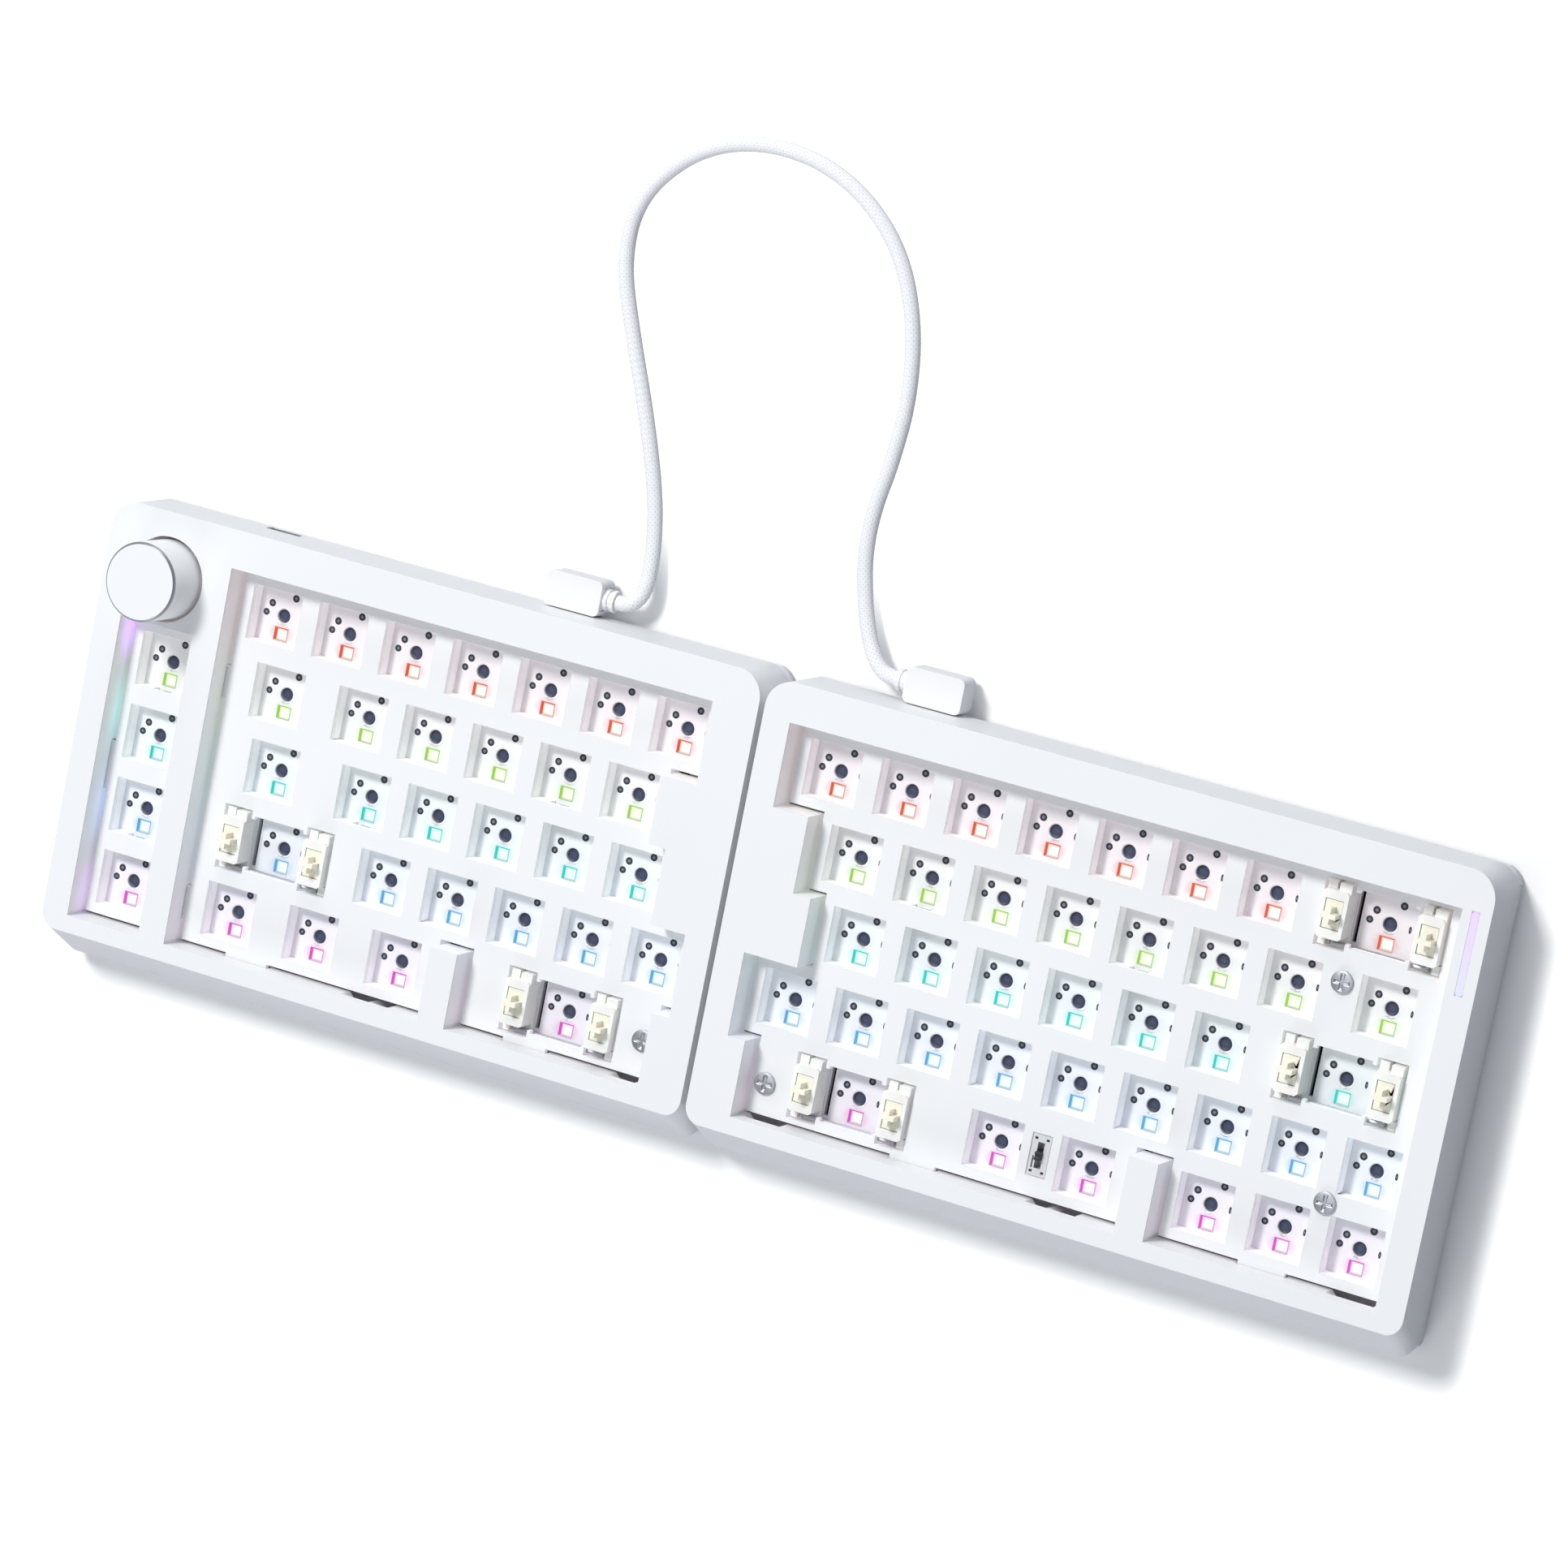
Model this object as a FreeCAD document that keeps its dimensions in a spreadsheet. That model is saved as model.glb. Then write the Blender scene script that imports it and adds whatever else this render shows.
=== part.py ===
import FreeCAD, Part
import Sketcher
import math
import os

# Split mechanical keyboard kit without switches or keycaps, in millimetres.
# World frame: +X right, +Y away from the typist, +Z up, Z = 0 on the desk.
# Each half is drawn in its own key frame: x = 0 at key unit 0, y = 0 on the
# centre line of the first key row, and is then placed in the world frame.

os.makedirs("parts", exist_ok=True)
doc = FreeCAD.newDocument("keyboard_kit")

# Driving dimensions
SIZES = [
    ("key_pitch", 19.05), ("well_margin", 0.95), ("side_bezel", 7.3), ("back_bezel", 9.7),
    ("front_bezel", 4.4), ("slant_run", 7.4), ("slant_drop", 14.0), ("front_tuck", 1.0),
    ("case_top", 21.5), ("case_bottom", 1.0), ("parting_height", 4.0), ("wall", 3.0),
    ("floor_thickness", 2.0), ("ring_bottom", 12.0), ("corner_back", 7.0), ("corner_front", 4.0),
    ("halves_gap", 1.5), ("bottom_inset", 0.6), ("lip_height", 2.0), ("lip_wall", 1.5),
    ("fit", 0.15), ("pcb_top", 9.5), ("pcb_thickness", 1.6), ("pcb_gap", 1.3),
    ("plate_above_pcb", 5.0), ("plate_thickness", 1.5), ("plate_gap", 0.9),
    ("bridge_width", 8.0), ("bridge_room", 0.5),
    ("switch_hole", 14.0), ("stab_span", 23.876), ("stab_hole_width", 7.8), ("stab_hole_length", 16.6),
    ("centre_hole", 4.0), ("led_window_x", 3.4), ("led_window_y", 3.0), ("led_offset", 4.7),
    ("led_size_x", 3.2), ("led_size_y", 2.8), ("led_height", 1.1), ("socket_length", 9.6),
    ("socket_width", 4.6), ("socket_height", 1.85), ("socket_offset", 3.9),
    ("tab_width", 12.0), ("tab_reach", 4.0), ("tab_room", 0.4), ("gasket_thickness", 1.8), ("pocket_lip", 1.2),
    ("notch_depth", 1.4), ("notch_top", 17.0),
    ("standoff_width", 4.0), ("screw_head", 5.4), ("screw_head_height", 1.0), ("screw_shank", 2.0),
    ("boss_radius", 2.4), ("boss_inset", 5.2), ("case_screw_head", 4.2), ("case_screw_shank", 2.0),
    ("case_screw_sink", 1.2), ("foam_top", 5.9), ("foam_gap", 1.0),
    ("foot_length", 16.0), ("foot_width", 8.0), ("foot_sink", 0.8), ("foot_inset", 7.0),
    ("flip_length", 17.0), ("flip_width", 20.0), ("flip_thickness", 2.4), ("flip_pin", 2.0),
    ("flip_pin_room", 0.05), ("flip_room", 0.4), ("flip_roof", 1.0), ("flip_axis_back", 6.6),
    ("flip_axis_height", 2.6), ("flip_side", 19.5), ("flip_grip", 10.0),
    ("port_width", 9.0), ("port_height", 3.2), ("port_depth", 7.4), ("port_wall", 0.3),
    ("port_room", 0.3), ("port_tab", 14.0), ("left_port_at", 86.7), ("right_port_at", 143.2),
    ("host_port_at", 4.0), ("plug_width", 15.4), ("plug_depth", 8.8), ("plug_height", 7.0),
    ("plug_gap", 0.3), ("plug_round", 1.6), ("blade_width", 8.34), ("blade_height", 2.4),
    ("blade_length", 6.4), ("relief_length", 3.0), ("relief_diameter", 5.4), ("relief_neck", 4.6),
    ("relief_groove", 0.6), ("cable_diameter", 4.0), ("inner_chamfer", 2.4), ("boss_room", 0.3),
    ("knob_diameter", 20.0), ("knob_room", 0.8), ("knob_top", 33.7), ("knob_bottom", 19.5),
    ("knob_edge", 0.6), ("bore_fit", 0.05), ("knob_back", 3.2),
    ("encoder_size", 12.0), ("encoder_height", 6.5), ("bushing_diameter", 7.0), ("bushing_height", 2.8),
    ("shaft_diameter", 5.9), ("shaft_top", 30.0), ("shaft_bottom", 12.75), ("shaft_room", 0.1),
    ("shaft_flat", 1.5), ("encoder_floor", 1.0), ("encoder_room", 3.0), ("plunger_size", 7.4),
    ("plunger_thickness", 1.2), ("plunger_room", 0.3), ("plunger_gap", 0.05), ("press_travel", 0.5),
    ("bar_length", 20.0), ("bar_width", 1.8), ("bar_depth", 3.0), ("bar_offset", 3.9),
    ("bar_room", 0.1), ("bar_shift", 0.5),
    ("switch_length", 9.0), ("switch_width", 3.9), ("switch_slot_length", 10.6),
    ("switch_slot_width", 5.2), ("switch_height", 4.6), ("lever_length", 2.2), ("lever_width", 1.6),
    ("lever_rise", 1.6), ("lever_travel", 4.0), ("lever_room", 0.25),
    ("battery_length", 60.0), ("battery_width", 34.0), ("battery_thickness", 2.6),
    ("housing_width", 6.6), ("housing_length", 11.6), ("housing_height", 7.2),
    ("flange_width", 6.8), ("flange_length", 16.2), ("flange_height", 2.4), ("flange_front", 1.6),
    ("stem_room", 0.15), ("stem_roof", 0.9), ("stem_cavity_x", 5.4), ("stem_cavity_y", 8.8),
    ("stem_mouth_x", 4.6), ("stem_mouth_y", 7.2), ("stem_shoulder", 1.95), ("stem_base", 0.35),
    ("stem_height", 6.55), ("post_height", 3.4), ("post_long", 4.0), ("post_thin", 1.2),
    ("wire_diameter", 1.4), ("wire_pivot_y", 7.3), ("wire_pivot_z", 2.6), ("wire_arm", 7.9),
    ("wire_slot", 2.0), ("wire_slot_room", 0.2), ("channel_top", 3.9), ("channel_back", 1.6),
    ("stem_travel", 3.6), ("housing_chamfer", 0.7), ("hook_width", 3.1), ("hook_height", 6.2),
    ("hook_reach", 7.7), ("block_width", 2.3), ("block_height", 4.4), ("lug_width", 1.8), ("lug_height", 4.0),
    ("lug_reach", 7.9), ("lug_depth", 2.2), ("pit_depth", 1.4),
    ("clip_slot_width", 1.05), ("clip_slot_length", 12.6), ("clip_slot_offset", 4.2),
]
sheet = doc.addObject("Spreadsheet::Sheet", "Sizes")
for index, (alias, value) in enumerate(SIZES, start=1):
    sheet.set("A%d" % index, alias)
    sheet.set("B%d" % index, str(value))
    sheet.setAlias("B%d" % index, alias)
doc.recompute()


def size(alias):
    """The value of one cell of the sheet."""
    return float(sheet.get(alias))


# Key layout in key units. Each row gives the spans of its key block and its keys.
LEFT_ROWS = [
    (1, [(0.0, 7.0)], [0.5, 1.5, 2.5, 3.5, 4.5, 5.5, 6.5]),
    (2, [(0.0, 6.5)], [0.75, 2.0, 3.0, 4.0, 5.0, 6.0]),
    (3, [(0.0, 6.75)], [0.875, 2.25, 3.25, 4.25, 5.25, 6.25]),
    (4, [(0.0, 7.25)], [1.125, 2.75, 3.75, 4.75, 5.75, 6.75]),
    (5, [(0.0, 3.75), (4.25, 7.0)], [0.625, 1.875, 3.125, 5.625]),
]
MACRO_COLUMN = (-1.5, -0.5)
MACRO_ROWS = (2, 5)
RIGHT_ROWS = [
    (1, [(6.0, 15.0)], [6.5, 7.5, 8.5, 9.5, 10.5, 11.5, 12.5, 14.0]),
    (2, [(6.5, 15.0)], [7.0, 8.0, 9.0, 10.0, 11.0, 12.0, 13.0, 14.25]),
    (3, [(6.75, 15.0)], [7.25, 8.25, 9.25, 10.25, 11.25, 12.25, 13.875]),
    (4, [(6.0, 15.0)], [6.5, 7.5, 8.5, 9.5, 10.5, 11.5, 12.5, 13.5, 14.5]),
    (5, [(6.25, 11.5), (12.0, 15.0)], [7.625, 9.625, 10.875, 12.5, 13.5, 14.5]),
]
MACRO_KEYS = [(-1.0, row) for row in range(2, 6)]
LEFT_STABS = [("shift", 1.125, 4), ("space", 5.625, 5)]
RIGHT_STABS = [("space", 7.625, 5), ("backspace", 14.0, 1), ("enter", 13.875, 3)]
LEFT_STANDOFFS = [(1.5, 1.5), (5.0, 1.5), (3.25, 3.5), (2.25, 2.5), (6.84, 4.02), (-1.0, 1.5), (-1.0, 3.5)]
LEFT_SCREWS = [(6.84, 4.02)]
RIGHT_STANDOFFS = [(8.0, 1.5), (11.0, 1.5), (9.0, 3.5), (11.0, 3.5), (14.03, 3.5), (13.65, 0.79), (6.43, 4.09)]
RIGHT_SCREWS = [(14.03, 3.5), (13.65, 0.79), (6.43, 4.09)]
LEFT_NOTCHES = [(2.53, 3.24), (6.50, 6.90)]
RIGHT_NOTCHES = [(6.25, 6.79), (10.23, 10.93), (14.31, 14.95)]
LEFT_TABS = [("front", 1.0), ("front", 5.2), ("back", 1.5), ("back", 6.0), ("macro", 5.0)]
RIGHT_TABS = [("front", 8.6), ("front", 13.4), ("back", 8.2), ("back", 13.2)]
LEFT_EDGE_UNIT, LEFT_END_UNIT = -1.5, 7.25
RIGHT_EDGE_UNIT, RIGHT_END_UNIT = 6.0, 15.0
SWITCH_UNIT, SWITCH_ROW = 10.25, 4.97

# Expressions that several pieces share
PITCH = "Sizes.key_pitch"
TOP = "Sizes.case_top"
PLATE_TOP = "(Sizes.pcb_top + Sizes.plate_above_pcb)"
PLATE_BOTTOM = "(Sizes.pcb_top + Sizes.plate_above_pcb - Sizes.plate_thickness)"
PCB_BOTTOM = "(Sizes.pcb_top - Sizes.pcb_thickness)"
BACK = f"(0.5 * {PITCH} + Sizes.well_margin + Sizes.back_bezel)"
FRONT = f"(-4.5 * {PITCH} - Sizes.well_margin - Sizes.front_bezel)"
NOSE = f"({FRONT} - Sizes.slant_run)"
EDGE = "(Sizes.well_margin + Sizes.side_bezel)"
LEFT_WIDTH = f"({LEFT_END_UNIT - LEFT_EDGE_UNIT} * {PITCH} + 2 * {EDGE})"
RIGHT_WIDTH = f"({RIGHT_END_UNIT - RIGHT_EDGE_UNIT} * {PITCH} + 2 * {EDGE})"
TOTAL_WIDTH = f"({LEFT_WIDTH} + Sizes.halves_gap + {RIGHT_WIDTH})"
# World place of each key frame
SHIFT_Y = f"(-({BACK} + {NOSE}) / 2)"
SHIFT_LEFT = f"(-{TOTAL_WIDTH} / 2 + {EDGE} - ({LEFT_EDGE_UNIT}) * {PITCH})"
SHIFT_RIGHT = f"({TOTAL_WIDTH} / 2 - {EDGE} - {RIGHT_END_UNIT} * {PITCH})"


class Half:
    """Names, layout and frame of one half of the keyboard."""

    def __init__(self, side, rows, edge, end, shift, width):
        self.side = side
        self.rows = rows
        self.edge = edge
        self.end = end
        self.shift = shift
        self.width = width
        self.start = f"({edge} * {PITCH} - {EDGE})"
        self.finish = f"({end} * {PITCH} + {EDGE})"


left = Half("left", LEFT_ROWS, LEFT_EDGE_UNIT, LEFT_END_UNIT, SHIFT_LEFT, LEFT_WIDTH)
right = Half("right", RIGHT_ROWS, RIGHT_EDGE_UNIT, RIGHT_END_UNIT, SHIFT_RIGHT, RIGHT_WIDTH)
left.stabs, right.stabs = LEFT_STABS, RIGHT_STABS
left.standoffs, right.standoffs = LEFT_STANDOFFS, RIGHT_STANDOFFS
left.screws, right.screws = LEFT_SCREWS, RIGHT_SCREWS
left.notches, right.notches = LEFT_NOTCHES, RIGHT_NOTCHES
left.tabs, right.tabs = LEFT_TABS, RIGHT_TABS
left.keys = [(unit, row) for row, _, units in LEFT_ROWS for unit in units] + MACRO_KEYS
right.keys = [(unit, row) for row, _, units in RIGHT_ROWS for unit in units]
left.ports, right.ports = ["left_port_at", "host_port_at"], ["right_port_at"]

exports = []
probe = doc.addObject("App::FeaturePython", "Probe")
probe.addProperty("App::PropertyFloat", "Reading")


def read(expression):
    """The number that an expression of the sheet gives now."""
    probe.setExpression("Reading", expression)
    doc.recompute([probe])
    return probe.Reading


# Small makers. Every size and place is an expression of the sheet.


def place(thing, x="0", y="0", z="0"):
    thing.setExpression("Placement.Base.x", x)
    thing.setExpression("Placement.Base.y", y)
    thing.setExpression("Placement.Base.z", z)
    return thing


def box(name, x, y, z, length, width, height):
    """A box between x and x + length, y and y + width, z and z + height."""
    thing = doc.addObject("Part::Box", name)
    thing.setExpression("Length", length)
    thing.setExpression("Width", width)
    thing.setExpression("Height", height)
    return place(thing, x, y, z)


def span_box(name, x0, x1, y0, y1, z0, z1):
    """A box given by its six faces."""
    return box(name, x0, y0, z0, f"({x1}) - ({x0})", f"({y1}) - ({y0})", f"({z1}) - ({z0})")


def rod(name, x, y, z, diameter, height):
    """An upright cylinder."""
    thing = doc.addObject("Part::Cylinder", name)
    thing.setExpression("Radius", f"({diameter}) / 2")
    thing.setExpression("Height", height)
    return place(thing, x, y, z)


def prism(name, sides, x, y, z, across, height):
    """An upright prism of equal sides, measured across its flats."""
    thing = doc.addObject("Part::Prism", name)
    thing.Polygon = sides
    thing.setExpression("Circumradius", f"({across}) / 2 / cos(180 deg / {sides})")
    thing.setExpression("Height", height)
    return place(thing, x, y, z)


def bar(name, sides, x, y, z, across, length):
    """A prism of equal sides along +X, measured across its flats."""
    thing = prism(name, sides, x, y, z, across, length)
    thing.Placement.Rotation = FreeCAD.Rotation(FreeCAD.Vector(0, 1, 0), 90)
    return thing


def fuse(name, things):
    if len(things) == 1:
        return things[0]
    whole = doc.addObject("Part::MultiFuse", name)
    whole.Shapes = things
    whole.Refine = True
    return whole


def cut(name, base, tools):
    result = doc.addObject("Part::Cut", name)
    result.Base = base
    result.Tool = fuse(name + "_tools", tools)
    result.Refine = True
    return result


def common(name, base, tool):
    result = doc.addObject("Part::Common", name)
    result.Base = base
    result.Tool = tool
    return result


def rounded(name, thing, radius, chosen):
    """Rounds the edges of a solid that a test picks."""
    doc.recompute()
    result = doc.addObject("Part::Fillet", name)
    result.Base = thing
    result.Edges = [(index, radius, radius) for index, edge in enumerate(thing.Shape.Edges, start=1) if chosen(edge)]
    return result


def chamfered(name, thing, length, chosen):
    """Bevels the edges of a solid that a test picks."""
    doc.recompute()
    result = doc.addObject("Part::Chamfer", name)
    result.Base = thing
    result.Edges = [(index, length, length) for index, edge in enumerate(thing.Shape.Edges, start=1) if chosen(edge)]
    return result


def upright(edge):
    """True for a straight edge along Z."""
    start, end = edge.Vertexes[0].Point, edge.Vertexes[-1].Point
    return abs(start.x - end.x) < 1e-6 and abs(start.y - end.y) < 1e-6


def feature(name, shape):
    """A solid, or a group of solids, that repeats at every key."""
    thing = doc.addObject("Part::Feature", name)
    thing.Shape = shape
    return thing


def group(name, things):
    """Separate solids kept in one node."""
    whole = doc.addObject("Part::Compound", name)
    whole.Links = things
    return whole


def export(node, thing, half=None, y="0", z="0"):
    """Labels a finished sub-part and puts it in its half's place."""
    thing.Label = node
    if half is not None:
        place(thing, half.shift, f"{SHIFT_Y} + {y}", z)
    exports.append(thing)
    return thing


def unit(value):
    """An expression for a place along X in key units."""
    return f"(({value}) * {PITCH})"


def row_line(row):
    """An expression for the centre line of a key row."""
    return f"(-({row} - 1) * {PITCH})"


# Outlines that follow the staggered key block


def block(name, half, grow, low, high):
    """The key block grown by a margin on its free sides, from z low to high."""
    pieces = []
    last = half.rows[-1][0]
    for row, spans, _ in half.rows:
        front = f"{row_line(row)} - 0.5 * {PITCH} - ({grow})"
        back = f"{row_line(row)} + 0.5 * {PITCH} + ({grow if row == 1 else '0'})"
        if row != last:
            front = f"{row_line(row)} - 0.5 * {PITCH} - max(0; {grow})"
        else:
            back = f"{row_line(row)} + 0.5 * {PITCH} + max(0; {grow})"
        if row not in (1, last):
            back = f"{row_line(row)} + 0.5 * {PITCH} + max(0; {grow})"
        for number, (start, end) in enumerate(spans):
            pieces.append(span_box(f"{name}_row{row}_{number}", f"{unit(start)} - ({grow})",
                                   f"{unit(end)} + ({grow})", front, back, low, high))
    if half is left:
        first_row, last_row = MACRO_ROWS
        pieces.append(span_box(f"{name}_macro", f"{unit(MACRO_COLUMN[0])} - ({grow})",
                               f"{unit(MACRO_COLUMN[1])} + ({grow})",
                               f"{row_line(last_row)} - 0.5 * {PITCH} - ({grow})",
                               f"{row_line(first_row)} + 0.5 * {PITCH} + ({grow})", low, high))
    return pieces


# Case shells


def side_profile(name, half, low, inset):
    """The case's side view, drawn on the YZ plane and padded across the half."""
    body = doc.addObject("PartDesign::Body", name)
    sketch = body.newObject("Sketcher::SketchObject", name + "_sketch")
    plane = [item for item in body.Origin.OriginFeatures if item.Role == "YZ_Plane"][0]
    sketch.AttachmentSupport = [(plane, "")]
    sketch.MapMode = "FlatFace"
    corners = [(BACK, low), (BACK, TOP), (FRONT, TOP), (NOSE, f"{TOP} - Sizes.slant_drop"),
               (f"{NOSE} + Sizes.front_tuck", low)]
    points = [FreeCAD.Vector(read(y), read(z), 0) for y, z in corners]
    count = len(points)
    for index in range(count):
        sketch.addGeometry(Part.LineSegment(points[index], points[(index + 1) % count]), False)
    for index in range(count):
        sketch.addConstraint(Sketcher.Constraint("Coincident", index, 2, (index + 1) % count, 1))
    for index, (y, z) in enumerate(corners):
        for kind, expression in (("DistanceX", y), ("DistanceY", z)):
            number = sketch.addConstraint(Sketcher.Constraint(kind, -1, 1, index, 1, read(expression)))
            sketch.setExpression(f"Constraints[{number}]", expression)
    pad = body.newObject("PartDesign::Pad", name + "_pad")
    pad.Profile = sketch
    pad.setExpression("Length", half.width)
    body.Tip = pad
    place(body, half.start)
    return body


def case_blank(name, half, low):
    """The side profile with its corners rounded in plan."""
    profile = side_profile(name + "_profile", half, low, "0")
    doc.recompute()
    middle = read(f"({BACK} + {NOSE}) / 2")

    def at_back(edge):
        return upright(edge) and edge.CenterOfMass.y > middle

    def at_front(edge):
        start, end = edge.Vertexes[0].Point, edge.Vertexes[-1].Point
        return abs(start.x - end.x) < 1e-6 and edge.CenterOfMass.y < middle and abs(start.z - end.z) > 1.0

    back = rounded(name + "_back", profile, size("corner_back"), at_back)
    return rounded(name + "_blank", back, size("corner_front"), at_front)


def cavity(name, half, low, high, gap):
    """The room inside the case walls, smaller all round by a gap."""
    front = f"({FRONT} - Sizes.slant_run * ({TOP} - Sizes.ring_bottom) / Sizes.slant_drop + Sizes.wall)"
    thing = span_box(name + "_block", f"{half.start} + Sizes.wall + {gap}", f"{half.finish} - Sizes.wall - {gap}",
                     f"{front} + {gap}", f"{BACK} - Sizes.wall - {gap}", low, high)
    return chamfered(name, thing, size("inner_chamfer"), upright)


def boss_places(half):
    """Where the case screws stand: four corners and the middle of front and back."""
    near = f"({half.start} + Sizes.boss_inset)"
    far = f"({half.finish} - Sizes.boss_inset)"
    back = f"({BACK} - Sizes.boss_inset)"
    front = f"({FRONT} + Sizes.front_bezel - Sizes.boss_radius - 1.1)"
    middle = f"(({near}) + ({far})) / 2"
    return [(near, back), (far, back), (near, front), (far, front), (middle, back), (middle, front)]


def tab_box(name, half, kind, at, reach, wide, low, high):
    """A box that stands out from the key block under the bezel, for tabs and their room."""
    inset = "(Sizes.plate_gap + 2)"
    if kind == "front":
        wall = f"(-4.5 * {PITCH} - Sizes.well_margin)"
        return span_box(name, f"{unit(at)} - ({wide}) / 2", f"{unit(at)} + ({wide}) / 2",
                        f"{wall} - ({reach})", f"{wall} + {inset}", low, high)
    if kind == "back":
        wall = f"(0.5 * {PITCH} + Sizes.well_margin)"
        return span_box(name, f"{unit(at)} - ({wide}) / 2", f"{unit(at)} + ({wide}) / 2",
                        f"{wall} - {inset}", f"{wall} + ({reach})", low, high)
    wall = f"({unit(MACRO_COLUMN[0])} - Sizes.well_margin)"
    return span_box(name, f"{wall} - ({reach})", f"{wall} + {inset}",
                    f"{row_line(3.5)} - ({wide}) / 2", f"{row_line(3.5)} + ({wide}) / 2", low, high)


def notch(name, start, end):
    """A recess with sloped ends in the front wall of the well."""
    def shape():
        wall = read(f"-4.5 * {PITCH} - Sizes.well_margin")
        depth, pitch, top = size("notch_depth"), size("key_pitch"), size("notch_top")
        low = size("ring_bottom") - 1.0
        corners = [(start * pitch, wall + 1.0), (start * pitch, wall), (start * pitch + depth, wall - depth),
                   (end * pitch - depth, wall - depth), (end * pitch, wall), (end * pitch, wall + 1.0)]
        points = [FreeCAD.Vector(x, y, low) for x, y in corners]
        face = Part.Face(Part.makePolygon(points + points[:1]))
        return face.extrude(FreeCAD.Vector(0, 0, top - low))
    return feature(name, shape())


def port_hole(name, at, grow, y0, y1):
    """The opening that a port's mouth passes through."""
    centre = f"({PCB_BOTTOM} - Sizes.port_height / 2)"
    return span_box(name, f"Sizes.{at} - Sizes.port_width / 2 - {grow}", f"Sizes.{at} + Sizes.port_width / 2 + {grow}",
                    y0, y1, f"{centre} - Sizes.port_height / 2 - {grow}",
                    f"{centre} + Sizes.port_height / 2 + {grow}")


def bridge_boxes(name, grow, low, high):
    """The two strips that join the macro column's plate to the main plate."""
    start = f"{unit(MACRO_COLUMN[1])} - Sizes.well_margin - 1"
    end = "Sizes.well_margin + 1"
    return [span_box(f"{name}_{row}", start, end, f"{row_line(row)} - Sizes.bridge_width / 2 - {grow}",
                     f"{row_line(row)} + Sizes.bridge_width / 2 + {grow}", low, high) for row in (2, 5)]


KNOB_X = unit(-1)
KNOB_Y = "Sizes.knob_back"
POCKET_TOP = f"({PLATE_TOP} + Sizes.gasket_thickness)"
BAR_X = f"({right.finish} - Sizes.bar_offset)"


def top_case(half):
    side = half.side
    blank = case_blank(side + "_top", half, "Sizes.parting_height")
    tools = block(side + "_well", half, "Sizes.well_margin", "0", f"{TOP} + 1")
    tools.append(cavity(side + "_top_room", half, "0", "Sizes.ring_bottom", "0"))
    for number, (kind, at) in enumerate(half.tabs):
        reach, wide = "Sizes.tab_reach + Sizes.tab_room", "Sizes.tab_width + 2 * Sizes.tab_room"
        tools.append(tab_box(f"{side}_tab_room_{number}", half, kind, at, reach, wide, "Sizes.ring_bottom - 1",
                             f"{PLATE_TOP} + Sizes.tab_room"))
        pocket = tab_box(f"{side}_pocket_block_{number}", half, kind, at, reach, wide, PLATE_TOP, POCKET_TOP)
        lip = tab_box(f"{side}_pocket_lip_{number}", half, kind, at, "Sizes.pocket_lip", "Sizes.tab_width + 4",
                      f"{PLATE_TOP} - 1", f"{POCKET_TOP} + 1")
        tools.append(cut(f"{side}_pocket_{number}", pocket, [lip]))
    for number, (start, end) in enumerate(half.notches):
        tools.append(notch(f"{side}_notch_{number}", start, end))
    for number, at in enumerate(half.ports):
        tools.append(port_hole(f"{side}_port_hole_{number}", at, "Sizes.port_room", f"{BACK} - Sizes.wall - 1",
                               f"{BACK} + 1"))
        tools.append(span_box(f"{side}_port_gate_{number}", f"Sizes.{at} - Sizes.port_width / 2 - Sizes.port_room",
                              f"Sizes.{at} + Sizes.port_width / 2 + Sizes.port_room", f"{BACK} - Sizes.wall - 1",
                              f"{BACK} + 1", "Sizes.parting_height - 1", PCB_BOTTOM + " - Sizes.port_height / 2"))
    if half is left:
        tools += bridge_boxes("bridge_room", "Sizes.bridge_room", "Sizes.ring_bottom - 1",
                              f"{PLATE_TOP} + Sizes.bridge_room")
        tools.append(rod("knob_opening", KNOB_X, KNOB_Y, "Sizes.ring_bottom - 1",
                         "Sizes.knob_diameter + 2 * Sizes.knob_room", f"{TOP} - Sizes.ring_bottom + 2"))
    else:
        tools.append(span_box("light_bar_groove", f"{BAR_X} - Sizes.bar_width / 2 - Sizes.bar_room",
                              f"{BAR_X} + Sizes.bar_width / 2 + Sizes.bar_room",
                              f"{BAR_Y} - Sizes.bar_length / 2 - Sizes.bar_room",
                              f"{BAR_Y} + Sizes.bar_length / 2 + Sizes.bar_room",
                              f"{TOP} - Sizes.bar_depth - Sizes.bar_room", f"{TOP} + 1"))
    shell = cut(side + "_shell", blank, tools)
    bosses = [prism(f"{side}_boss_{number}", 8, x, y, "Sizes.case_bottom + Sizes.floor_thickness",
                    "2 * Sizes.boss_radius", "Sizes.ring_bottom - Sizes.case_bottom - Sizes.floor_thickness + 0.5")
              for number, (x, y) in enumerate(boss_places(half))]
    holes = [prism(f"{side}_boss_hole_{number}", 6, x, y, "Sizes.case_bottom + Sizes.floor_thickness - 1",
                   "Sizes.case_screw_shank", "7")
             for number, (x, y) in enumerate(boss_places(half))]
    whole = fuse(side + "_shell_with_bosses", [shell] + bosses)
    export(side + "_top_case", cut(side + "_top_case_solid", whole, holes), half)


def flip_places(half):
    """Middle of each flip foot along X."""
    return [f"({half.start} + Sizes.flip_side)", f"({half.finish} - Sizes.flip_side)"]


FLIP_Y = f"({BACK} - Sizes.flip_axis_back)"


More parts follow.
